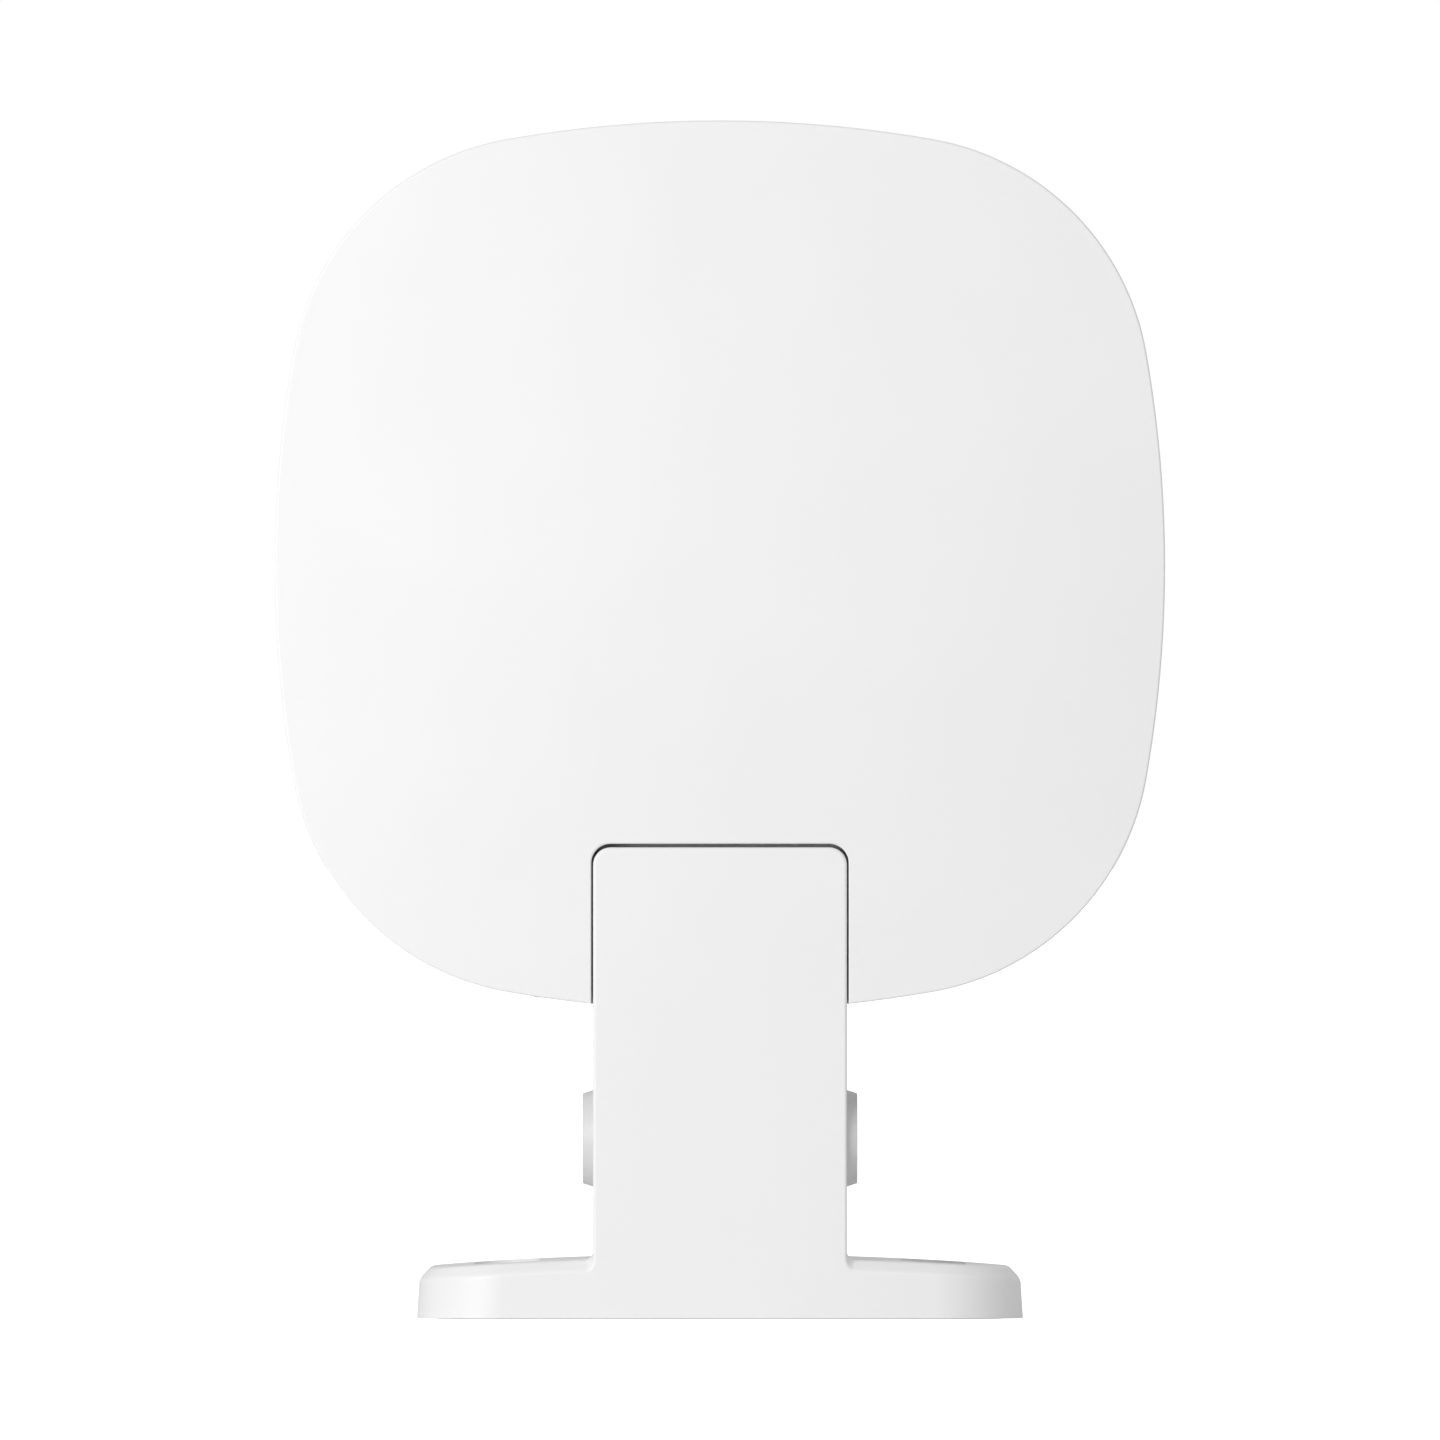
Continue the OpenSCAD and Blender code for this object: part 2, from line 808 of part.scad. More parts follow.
// The front cover's lip slips inside the rear cover, and leaves room for the sockets
module front_cover() {
    rim_y = seam_y + gasket_t;
    mid_y = front_y - front_edge_r;
    lip_y = seam_y - lip_l;
    lip_inset = cover_wall + fit;
    knee = front_edge_r * edge_knee_in;
    color("whitesmoke")
        difference() {
            union() {
                difference() {
                    hull() {
                        panel_plate(0, rim_y, mid_y);
                        panel_plate(knee, mid_y, front_y - knee);
                        panel_plate(front_edge_r, mid_y, front_y);
                    }
                    panel_plate(cover_wall, rim_y - past, mid_y - fit);
                    panel_plate(
                        cover_wall + front_edge_r * edge_inner_in, rim_y - past, front_y - cover_wall
                    );
                }
                difference() {
                    panel_plate(lip_inset, lip_y, mid_y - fit);
                    panel_plate(lip_inset + lip_wall, lip_y - past, mid_y);
                    block(
                        [-power_x - power_w / 2 - lip_break, lip_y - past, panel_bottom],
                        [jack_x + jack_w / 2 + lip_break, rim_y, power_z + lip_break]
                    );
                }
            }
            bar_y(0, seam_y, front_y + past, led_z, pipe_r + pipe_gap);
        }
}

module seam_gasket() {
    color("silver")
        difference() {
            panel_plate(gasket_inset, seam_y, seam_y + gasket_t);
            panel_plate(cover_wall - gasket_overlap, seam_y - past, seam_y + gasket_t + past);
        }
}

module chassis_plate() {
    color("lightsteelblue")
        difference() {
            union() {
                panel_plate(chassis_inset, chassis_y, chassis_y + chassis_t);
                for (p = board_screws_at)
                    bar_y(p.x, chassis_y + chassis_t / 2, board_y, panel_z + p.y, standoff_r);
            }
            block(
                [jack_x - jack_w / 2 - clear, chassis_y - past, panel_bottom],
                [jack_x + jack_w / 2 + clear, board_y, jack_z + jack_l + clear]
            );
            for (sx = [-1, 1], sz = [-1, 1])
                bar_y(
                    sx * chassis_screw_at, chassis_y - past, board_y,
                    panel_z + sz * chassis_screw_at, screw_pass_r
                );
            for (sx = [-1, 1], z = neck_screw_z)
                bar_y(sx * neck_screw_x, chassis_y - past, board_y, z, screw_pass_r);
            for (p = board_screws_at)
                bar_y(p.x, chassis_y - past, board_y + past, panel_z + p.y, board_screw_thread_r);
        }
}

module chassis_screws() {
    color("silver")
        for (sx = [-1, 1], sz = [-1, 1])
            screw_y(
                sx * chassis_screw_at, panel_z + sz * chassis_screw_at,
                chassis_y + chassis_t, screw_head_r, screw_head_t, screw_r, chassis_screw_bite
            );
}

module main_board() {
    color("seagreen")
        difference() {
            panel_plate(board_inset, board_y, board_front_y);
            for (p = board_screws_at)
                bar_y(p.x, board_y - past, board_front_y + past, panel_z + p.y, board_screw_pass_r);
        }
}

module board_screws() {
    color("silver")
        for (p = board_screws_at)
            screw_y(
                p.x, panel_z + p.y, board_front_y,
                board_screw_head_r, board_screw_head_t, board_screw_r, board_t + board_screw_bite
            );
}

// A block on the back of the main board, centred at one place of the can layout
module can_block(c, inset, y0, y1) {
    block(
        [c[0] - c[2] / 2 + inset, y0, panel_z + c[1] - c[3] / 2 + inset],
        [c[0] + c[2] / 2 - inset, y1, panel_z + c[1] + c[3] / 2 - inset]
    );
}

module shield_cans() {
    color("lightgray")
        for (c = can_list)
            difference() {
                can_block(c, 0, board_y - can_h, board_y);
                can_block(c, can_wall, board_y - can_h + can_wall, board_y + past);
            }
}

module radio_chips() {
    color("darkslategray")
        for (c = can_list)
            can_block(c, chip_inset, board_y - chip_t, board_y);
}

module thermal_pads() {
    color("thistle")
        for (c = can_list)
            can_block(c, thermal_inset, chassis_y + chassis_t, board_y - can_h);
}

// Four stamped antennas that stand on the board's back, two at each side edge
module wifi_antennas() {
    sheet = wifi_sheet / 2;
    low = -wifi_l / 2;
    color("goldenrod")
        for (sx = [-1, 1], sz = [-1, 1])
            translate([sx * wifi_x, board_y, panel_z + sz * wifi_z]) {
                block([-sheet, -wifi_h, low], [sheet, wifi_band - wifi_h, -low]);
                for (z = [low, low + wifi_feed_at])
                    block([-sheet, -wifi_h, z], [sheet, 0, z + wifi_band]);
            }
}

module antenna_board() {
    half = antenna_size / 2;
    color("darkgreen")
        block(
            [-half, antenna_board_y, panel_z + antenna_rise - half],
            [half, antenna_board_y + antenna_board_t, panel_z + antenna_rise + half]
        );
}

module antenna_patches() {
    face_y = antenna_board_y + antenna_board_t;
    last = (patches_across - 1) / 2;
    color("goldenrod")
        for (i = [-last : last], j = [-last : last])
            translate([i * patch_pitch, face_y, panel_z + antenna_rise + j * patch_pitch])
                block([-patch_size / 2, 0, -patch_size / 2], [patch_size / 2, patch_t, patch_size / 2]);
}

module antenna_spacers() {
    reach = antenna_size / 2 - spacer_inset;
    color("ivory")
        for (sx = [-1, 1], sz = [-1, 1])
            bar_y(sx * reach, board_front_y, antenna_board_y, panel_z + antenna_rise + sz * reach, spacer_r);
}

module board_connector() {
    z = panel_z + antenna_rise;
    color("dimgray")
        block(
            [-connector_w / 2, board_front_y, z - connector_h / 2],
            [connector_w / 2, antenna_board_y, z + connector_h / 2]
        );
}

module ethernet_jack() {
    mid_y = board_y - jack_h / 2;
    color("dimgray")
        difference() {
            block(
                [jack_x - jack_w / 2, board_y - jack_h, jack_z],
                [jack_x + jack_w / 2, board_y, jack_z + jack_l]
            );
            block(
                [jack_x - jack_mouth_w / 2, mid_y - jack_mouth_h / 2, jack_z - past],
                [jack_x + jack_mouth_w / 2, mid_y + jack_mouth_h / 2, jack_z + jack_mouth_l]
            );
            block(
                [jack_x - jack_latch_w / 2, mid_y - jack_mouth_h / 2 - jack_latch_h, jack_z - past],
                [jack_x + jack_latch_w / 2, mid_y, jack_z + jack_latch_l]
            );
        }
}

// Eight sprung contacts along the jack's front wall
module jack_contacts() {
    wall_y = board_y - jack_h / 2 + jack_mouth_h / 2;
    last = (contacts - 1) / 2;
    color("gold")
        for (i = [-last : last])
            translate([jack_x + i * contact_pitch, wall_y, jack_z])
                block([-contact_w / 2, -contact_t, contact_start], [contact_w / 2, 0, jack_mouth_l]);
}

module power_socket() {
    mid_y = board_y - power_h / 2;
    inner_half = power_w / 2 - power_shell_t;
    color("silver") {
        difference() {
            block(
                [-power_x - power_w / 2, board_y - power_h, power_z],
                [-power_x + power_w / 2, board_y, power_z + power_l]
            );
            block(
                [-power_x - inner_half, board_y - power_h + power_shell_t, power_z - past],
                [-power_x + inner_half, board_y - power_shell_t, power_z + power_l - power_back_t]
            );
        }
        block(
            [-power_x - power_tongue_w / 2, mid_y - power_tongue_t / 2, power_z + power_back_t],
            [-power_x + power_tongue_w / 2, mid_y + power_tongue_t / 2, power_z + power_l - power_back_t / 2]
        );
    }
}

module button_switch() {
    color("dimgray")
        block(
            [-button_x - switch_w / 2, board_y - switch_h, switch_z],
            [-button_x + switch_w / 2, board_y, switch_z + switch_l]
        );
}

module pairing_button() {
    flange_z = button_seat_z + button_play;
    color("gainsboro") {
        bar_z(-button_x, button_y, button_face_z, flange_z + button_flange_t, button_r);
        bar_z(-button_x, button_y, flange_z, flange_z + button_flange_t, button_flange_r);
        bar_z(-button_x, button_y, flange_z, switch_z - button_travel - switch_play, button_stem_r);
    }
}

module status_led() {
    color("white")
        block(
            [-led_w / 2, board_front_y, led_z - led_h / 2],
            [led_w / 2, board_front_y + led_t, led_z + led_h / 2]
        );
}

module light_pipe() {
    color("azure")
        bar_y(0, board_front_y + led_t + led_gap, front_y - pipe_gap, led_z, pipe_r);
}

stand_body();
base_plate();
foot_pad();
ballast_plate();
base_screws();
ballast_screws();
pivot_bolt();
pivot_nut();
spring_washers();
friction_washers();
pivot_cap_left();
pivot_cap_right();
neck();
neck_screws();
rear_cover();
front_cover();
seam_gasket();
chassis_plate();
chassis_screws();
main_board();
board_screws();
shield_cans();
radio_chips();
thermal_pads();
wifi_antennas();
antenna_board();
antenna_patches();
antenna_spacers();
board_connector();
ethernet_jack();
jack_contacts();
power_socket();
button_switch();
pairing_button();
status_led();
light_pipe();
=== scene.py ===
# Visual model of a wireless router: a bowed square panel that tilts on an L-shaped stand.
# Each operator makes one piece in place, on the body that it moves with.
import json
import math

import bmesh
import bpy
from bpy.props import FloatProperty, FloatVectorProperty, IntProperty, PointerProperty
from bpy.types import Operator, Panel, PropertyGroup
from mathutils import Matrix, Vector


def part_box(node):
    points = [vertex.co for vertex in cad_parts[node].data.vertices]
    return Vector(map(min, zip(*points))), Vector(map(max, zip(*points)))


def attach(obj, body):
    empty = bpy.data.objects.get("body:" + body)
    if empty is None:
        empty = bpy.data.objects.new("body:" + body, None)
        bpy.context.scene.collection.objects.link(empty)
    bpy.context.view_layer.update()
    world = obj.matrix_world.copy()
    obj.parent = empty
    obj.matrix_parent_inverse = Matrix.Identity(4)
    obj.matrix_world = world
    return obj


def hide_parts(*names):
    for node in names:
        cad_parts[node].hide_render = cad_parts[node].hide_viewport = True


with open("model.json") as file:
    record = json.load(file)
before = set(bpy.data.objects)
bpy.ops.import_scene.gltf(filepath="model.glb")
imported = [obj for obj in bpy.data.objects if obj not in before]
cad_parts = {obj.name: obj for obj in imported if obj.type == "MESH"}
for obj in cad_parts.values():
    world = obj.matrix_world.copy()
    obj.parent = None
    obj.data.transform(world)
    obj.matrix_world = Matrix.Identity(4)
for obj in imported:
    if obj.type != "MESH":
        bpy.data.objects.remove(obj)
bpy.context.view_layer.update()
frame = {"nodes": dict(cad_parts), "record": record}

bl_info = {
    "name": "Wireless Router",
    "version": (1, 0, 0),
    "blender": (4, 5, 0),
    "location": "View3D > Sidebar > Router",
    "description": "Makes a wireless router with a tilting panel, piece by piece",
    "category": "Object",
}

SLOT_OF_NODE = {part["node"]: part["material_slot"] for part in frame["record"]["subparts"]}
OPENINGS = {opening["name"]: opening for opening in frame["record"]["physics"]["openings"]}

# Places, all taken from the frame
STAND_LOW, STAND_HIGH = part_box("stand_body")
REAR_LOW, REAR_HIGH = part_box("rear_cover")
FRONT_LOW, FRONT_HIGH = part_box("front_cover")
GASKET_LOW, GASKET_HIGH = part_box("seam_gasket")
PAD_LOW, PAD_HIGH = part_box("foot_pad")
PLATE_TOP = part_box("base_plate")[1].z
CAP_LOW, CAP_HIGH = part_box("pivot_cap_right")
NECK_LOW, NECK_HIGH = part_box("neck")
JACK_LOW, JACK_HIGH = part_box("ethernet_jack")
POWER_LOW, POWER_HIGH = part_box("power_socket")
BUTTON_LOW, BUTTON_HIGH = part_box("pairing_button")
PIPE_LOW, PIPE_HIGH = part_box("light_pipe")
CHASSIS_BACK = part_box("chassis_plate")[0].y

BACK_Y = REAR_LOW.y
SEAM_Y = REAR_HIGH.y
PANEL_HALF = REAR_HIGH.x
PANEL_Z = (REAR_LOW.z + REAR_HIGH.z) / 2
STEM_TOP = STAND_HIGH.z
PIVOT = Vector((0, (CAP_LOW.y + CAP_HIGH.y) / 2, (CAP_LOW.z + CAP_HIGH.z) / 2))

PAST = 0.001  # how far a cutter runs past the face that it opens
POCKET_RUN = 0.012  # how far the pocket's cutter starts below the panel
BEHIND = Vector((0, -1, 0))
NEAR_ROUND = 0.999  # share of a slot's half width that rounds its ends, just short of a half circle
SAME_PLACE = 1e-6  # points nearer than this are one
SAME_LEVEL = 1e-7  # points on one flat rim differ by less than this

# Screws, bores and posts: radii
SCREW_HEAD = 0.0027
BASE_SCREW_HEAD = 0.0023
BALLAST_SCREW_HEAD = 0.0025
CHASSIS_POST = 0.0035
BASE_POST = 0.0028
BALLAST_POST = 0.003
BOLT_BORE = 0.00255
NECK_SCREW_BORE = 0.00155
BORE_REACH = 0.03  # half length of the cutter for the neck's bore
CAP_SEAT = 0.00625
BUTTON_BORE = 0.0027

# The neck, whose arm is 15/17 as wide as its barrel
NECK_PLATE = 0.0035  # thickness of the plate inside the panel
NECK_ARM = 0.008  # thickness of the arm
NECK_GAP = 0.0002

# The front cover's lip
LIP_OUTSIDE = 0.0002  # from the wall's inner face to the lip's outer face
LIP_INSIDE = 0.0012  # from the wall's inner face to the lip's inner face
LIP_HIGH = 0.0015  # how far the lip is rooted past the rim
LIP_CLEAR = 0.003
LIP_NOTCH = 0.004  # room round the sockets in the lip

SLOT_MOUTH = 0.0001  # chamfer round each slot
TOWARDS_KEY = (-0.56, -0.8, 0.13)  # from the panel to the large light


# Sizes and colours


def metres(name, description, default, digits=4):
    """A length that a user would change, shown with this many digits."""
    return FloatProperty(
        name=name, description=description, default=default, unit="LENGTH", precision=digits,
    )


def tone(name, description, default):
    """A colour that a user would change."""
    return FloatVectorProperty(
        name=name, description=description, subtype="COLOR", default=default, min=0, max=1,
    )


class PanelSizes(PropertyGroup):
    side_radius: metres("Side radius", "Radius of the long arc along each side", 0.208)
    corner_radius: metres("Corner radius", "Radius of the panel's corners", 0.0446)
    wall: metres("Cover wall", "Wall of the front and rear covers", 0.002)
    back_edge: metres("Back edge", "Rounding round the back face", 0.00035, 5)
    front_edge: metres("Front edge", "Rounding round the front face", 0.003)
    pocket_gap: metres("Pocket gap", "Gap between the stem and the pocket at each side", 0.0003, 5)
    pocket_top_gap: metres("Pocket top gap", "Gap between the stem's top and the pocket", 0.0006, 5)
    pocket_depth: metres("Pocket depth", "Depth of the pocket that the stem nests in", 0.0064)
    mouth_edge: metres("Mouth edge", "Small chamfer round each opening", 0.0002, 5)
    socket_gap: metres("Socket gap", "Gap round each socket in the cover", 0.0003, 5)
    collar_wall: metres("Collar wall", "Wall of the sleeve that frames each socket", 0.0012)
    side_steps: IntProperty(
        name="Side steps", description="Straight steps along each side's arc", default=20, min=4,
    )
    corner_steps: IntProperty(
        name="Corner steps", description="Straight steps round each corner's arc", default=36, min=6,
    )


class StandSizes(PropertyGroup):
    stem_width: metres("Stem width", "Width of the stem", 0.0432)
    stem_depth: metres("Stem depth", "Depth of the stem at the pivot", 0.019)
    stem_top_depth: metres("Stem top depth", "Depth of the stem's upper end", 0.006)
    stem_wall: metres("Stem wall", "Wall of the stem", 0.0026)
    stem_corner: metres("Stem corner", "Radius of the stem's top corners", 0.003)
    shoulder_drop: metres(
        "Shoulder drop", "From the panel's lowest point down to the shoulder's top", 0.0025,
    )
    shoulder_height: metres("Shoulder height", "Height of the sloping shoulder", 0.009)
    base_height: metres("Base height", "Height of the base at its middle", 0.0105)
    base_corner: metres("Base corner", "Radius of the base's corners from above", 0.0146)
    base_bevel: metres("Base bevel", "Bevel round the base's top", 0.0019)
    base_lean: metres("Base lean", "How far each end leans in", 0.0004, 5)
    base_wall: metres("Base wall", "Wall of the base", 0.0024)
    crown_radius: metres("Crown radius", "Radius of the shallow crown across the base", 0.655, 3)
    foot_fillet: metres("Foot fillet", "Inside radius where the stem meets the base", 0.0013)
    edge_fillet: metres("Edge fillet", "Rounding of the stand's outer edges", 0.0005, 5)
    slot_head_width: metres("Slot head width", "Width of each slot's upper part", 0.011)
    slot_head_depth: metres("Slot head depth", "Depth of each slot's upper part", 0.003)
    slot_shank_width: metres("Slot shank width", "Width of each slot for a screw's shank", 0.0046)
    slot_length: metres("Slot length", "Length of each slot, front to back", 0.048)
    slot_wall: metres("Slot wall", "Wall round each slot inside the base", 0.0016)
    cap_draft: metres("Cap draft", "How much smaller each pivot cap is at its outer face", 0.0005, 5)
    crown_pitch: metres("Crown pitch", "Distance between the straight steps of the crown", 0.0048)


class Finishes(PropertyGroup):
    shell: tone("Shell", "Colour of the white satin shells", (0.84, 0.84, 0.84))
    grain: FloatProperty(
        name="Grain", description="Strength of the moulded grain on the shells",
        subtype="FACTOR", default=0.12, min=0, max=1,
    )
    neck: tone("Neck", "Colour of the painted casting", (0.6, 0.6, 0.61))
    pad: tone("Foot pad", "Colour of the silicone foot pad", (0.5, 0.5, 0.5))
    board: tone("Board", "Colour of the boards' solder resist", (0.012, 0.09, 0.04))


class StageSizes(PropertyGroup):
    eye_height: metres("Eye height", "Height of the camera's eye", 0.1019)
    eye_distance: metres("Eye distance", "From the camera to the back of the panel", 10.0, 3)
    lens: FloatProperty(
        name="Lens", description="Focal length of the camera in millimetres", default=1470, min=35,
    )
    floor_size: metres("Floor size", "Width and depth of the floor", 60, 2)
    floor: tone("Floor", "Colour of the floor", (0.8, 0.8, 0.8))
    ambient: FloatProperty(
        name="Ambient", description="Strength of the light from all round", default=0.62, min=0,
    )
    key: FloatProperty(
        name="Key light", description="Power of the large light on the left, in watts", default=2.9, min=0,
    )
    key_distance: metres("Key distance", "From the large light to the panel", 0.75, 2)
    key_size: metres("Key size", "Width of the large light", 0.45, 2)


# Mesh tools


def add_block(bm, low, high):
    """A block between two corners."""
    corners = bmesh.ops.create_cube(bm, size=1)["verts"]
    low, high = Vector(low), Vector(high)
    bmesh.ops.scale(bm, vec=high - low, verts=corners)
    bmesh.ops.translate(bm, vec=(low + high) / 2, verts=corners)
    return corners


def round_edges(bm, edges, width, steps, clamp=True):
    bmesh.ops.bevel(
        bm, geom=list(edges), offset=width, offset_type="OFFSET", segments=steps, profile=0.5,
        affect="EDGES", clamp_overlap=clamp, material=-1,
    )


def edges_among(verts, test):
    """The edges between these points whose two ends both pass a test."""
    found = {edge for vert in verts for edge in vert.link_edges}
    return [edge for edge in found if all(test(vert.co) for vert in edge.verts)]


def add_rounded_block(bm, low, high, axis, radius, steps):
    """A block whose four edges along one axis are rounded."""
    corners = add_block(bm, low, high)
    found = {edge for vert in corners for edge in vert.link_edges}
    along = [e for e in found if abs((e.verts[0].co - e.verts[1].co).normalized()[axis]) > 0.9]
    round_edges(bm, along, radius, steps)


def block(low, high, axis=2, radius=0.0, steps=8):
    """A new mesh that holds one block, with its edges along an axis rounded."""
    bm = bmesh.new()
    if radius:
        add_rounded_block(bm, low, high, axis, radius, steps)
    else:
        add_block(bm, low, high)
    return bm


def add_rod(bm, start, end, radius, end_radius=None, steps=64):
    """A round bar, straight or tapered, from one point to another."""
    start, end = Vector(start), Vector(end)
    turn = (end - start).to_track_quat("Z", "Y").to_matrix().to_4x4()
    bmesh.ops.create_cone(
        bm, cap_ends=True, cap_tris=False, segments=steps, radius1=radius,
        radius2=radius if end_radius is None else end_radius, depth=(end - start).length,
        matrix=Matrix.Translation((start + end) / 2) @ turn,
    )


def rod(start, end, radius, end_radius=None, steps=64):
    bm = bmesh.new()
    add_rod(bm, start, end, radius, end_radius, steps)
    return bm


def temporary_object(bm):
    mesh = bpy.data.meshes.new("temporary")
    bm.to_mesh(mesh)
    bm.free()
    made = bpy.data.objects.new("temporary", mesh)
    bpy.context.scene.collection.objects.link(made)
    return made


def combine(first, second, operation):
    """Cuts, joins or intersects two closed meshes and returns the result."""
    kept, tool = temporary_object(first), temporary_object(second)
    modifier = kept.modifiers.new("combine", "BOOLEAN")
    modifier.operation = operation
    modifier.object = tool
    modifier.solver = "EXACT"
    result = bmesh.new()
    result.from_object(kept, bpy.context.evaluated_depsgraph_get())
    for made in (kept, tool):
        mesh = made.data
        bpy.data.objects.remove(made)
        bpy.data.meshes.remove(mesh)
    return result


def cut(bm, *tools):
    for tool in tools:
        bm = combine(bm, tool, "DIFFERENCE")
    return bm


def join(bm, *tools):
    for tool in tools:
        bm = combine(bm, tool, "UNION")
    return bm


def cleaned(bm):
    """Merges doubles and drops the needless points and edges that cuts leave in flat faces."""
    bmesh.ops.remove_doubles(bm, verts=bm.verts, dist=2e-6)
    bmesh.ops.dissolve_degenerate(bm, edges=bm.edges, dist=2e-6)
    bmesh.ops.dissolve_limit(
        bm, angle_limit=math.radians(0.05), use_dissolve_boundaries=False, verts=bm.verts, edges=bm.edges,
        delimit={"NORMAL"},
    )
    bmesh.ops.recalc_face_normals(bm, faces=bm.faces)
    return bm


def finish_piece(name, bm, body, slot, nodes=(), sharp=36):
    """Turns a mesh into a finished piece on its body, with its slot's material."""
    mesh = bpy.data.meshes.new(name)
    bm.to_mesh(mesh)
    bm.free()
    mesh.shade_smooth()
    mesh.set_sharp_from_angle(angle=math.radians(sharp))
    piece = bpy.data.objects.new(name, mesh)
    bpy.context.scene.collection.objects.link(piece)
    piece.data.materials.append(material_for(slot))
    weighted = piece.modifiers.new("even_shading", "WEIGHTED_NORMAL")
    weighted.mode = "FACE_AREA"
    weighted.keep_sharp = True
    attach(piece, body)
    if nodes:
        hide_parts(*nodes)
    return piece


# The panel's outline


def add_outline(bm, inset, y):
    """The panel's closed outline at one depth: a long arc along each side, a round arc at each corner."""
    sizes = bpy.context.scene.router_panel
    spread = math.sqrt(2) * (sizes.side_radius - sizes.corner_radius)
    side_turn = math.pi / 4 - math.asin((sizes.side_radius - PANEL_HALF) / spread)
    corner_turn = math.pi / 2 - 2 * side_turn
    reach = (sizes.side_radius - sizes.corner_radius) * math.sin(side_turn)
    side_centre = Vector((PANEL_HALF - sizes.side_radius, 0, 0))
    corner_centre = Vector((reach, 0, reach))
    radius = sizes.side_radius - inset
    begin = side_centre + radius * Vector((math.cos(side_turn), 0, -math.sin(side_turn)))
    tip = bm.verts.new(begin + Vector((0, y, 0)))
    for quarter in range(4):
        turn = Matrix.Rotation(-quarter * math.pi / 2, 3, "Y")
        arcs = (
            (side_centre, 2 * side_turn, sizes.side_steps),
            (corner_centre, corner_turn, sizes.corner_steps),
        )
        for centre, sweep, steps in arcs:
            spun = bmesh.ops.spin(
                bm, geom=[tip], cent=turn @ centre, axis=BEHIND, angle=sweep, steps=steps,
                use_merge=False, use_duplicate=False,
            )
            tip = next(item for item in spun["geom_last"] if isinstance(item, bmesh.types.BMVert))
    bmesh.ops.remove_doubles(bm, verts=bm.verts, dist=SAME_PLACE)
    bmesh.ops.translate(bm, vec=(0, 0, PANEL_Z), verts=bm.verts)
    return list(bm.edges)


def outline_plate(inset, start_y, end_y):
    """A solid plate of the panel's outline between two depths."""
    bm = bmesh.new()
    bmesh.ops.edgeloop_fill(bm, edges=add_outline(bm, inset, start_y))
    pushed = bmesh.ops.extrude_face_region(bm, geom=list(bm.faces), use_keep_orig=True)["geom"]
    moved = [item for item in pushed if isinstance(item, bmesh.types.BMVert)]
    bmesh.ops.translate(bm, vec=(0, end_y - start_y, 0), verts=moved)
    bmesh.ops.recalc_face_normals(bm, faces=bm.faces)
    return bm


def rim_edges(bm, y):
    """The edges of a plate's rim at one depth."""
    return edges_among(bm.verts, lambda co: abs(co.y - y) < SAME_LEVEL)


def push_face(bm, face, along, grow=(0, 0, 0)):
    """Extrudes one face along a vector, widens its far end by grow on each side, and returns that end."""
    pushed = bmesh.ops.extrude_face_region(bm, geom=[face])["geom"]
    bmesh.ops.delete(bm, geom=[face], context="FACES_ONLY")
    verts = [item for item in pushed if isinstance(item, bmesh.types.BMVert)]
    bmesh.ops.translate(bm, vec=along, verts=verts)
    if any(grow):
        middle = sum((vert.co for vert in verts), Vector()) / len(verts)
        spans = [max(vert.co[i] for vert in verts) - min(vert.co[i] for vert in verts) for i in range(3)]
        factors = [1 + 2 * g / span if g else 1 for g, span in zip(grow, spans)]
        bmesh.ops.scale(bm, vec=factors, verts=verts, space=Matrix.Translation(-middle))
    return next(item for item in pushed if isinstance(item, bmesh.types.BMFace))


def mouth_cutter(low, high, axis, side, radius, edge, steps=8):
    """A cutter for an opening whose mouth, at the low (-1) or high (1) end of the axis, has a chamfer."""
    low, high = Vector(low), Vector(high)
    if side < 0:
        low[axis] += edge
    else:
        high[axis] -= edge
    bm = block(low, high, axis, radius, steps)
    end = max(bm.faces, key=lambda face: side * face.calc_center_median()[axis])
    along = Vector((0, 0, 0))
    along[axis] = side * edge
    grow = [0 if i == axis else edge for i in range(3)]
    end = push_face(bm, end, along, grow)
    push_face(bm, end, along.normalized() * PAST)
    bmesh.ops.recalc_face_normals(bm, faces=bm.faces)
    return bm


# The panel's pieces


def pocket_size():
    """Half width and top of the pocket in the panel's back."""
    panel, stand = bpy.context.scene.router_panel, bpy.context.scene.router_stand
    return stand.stem_width / 2 + panel.pocket_gap, STEM_TOP + panel.pocket_top_gap


def pocket_block(grow, start_y, end_y):
    stand, panel = bpy.context.scene.router_stand, bpy.context.scene.router_panel
    half, top = pocket_size()
    radius = stand.stem_corner + panel.pocket_gap + grow
    low = (-half - grow, start_y, REAR_LOW.z - POCKET_RUN)
    return block(low, (half + grow, end_y, top + grow), 1, radius, 12)


def socket_box(low, high, grow, extra_up):
    """The space round a socket, from below the panel's skin up past the socket's mouth."""
    low_corner = Vector((low.x - grow, low.y - grow, REAR_LOW.z - 0.002))
    return low_corner, Vector((high.x + grow, high.y + grow, low.z + extra_up))


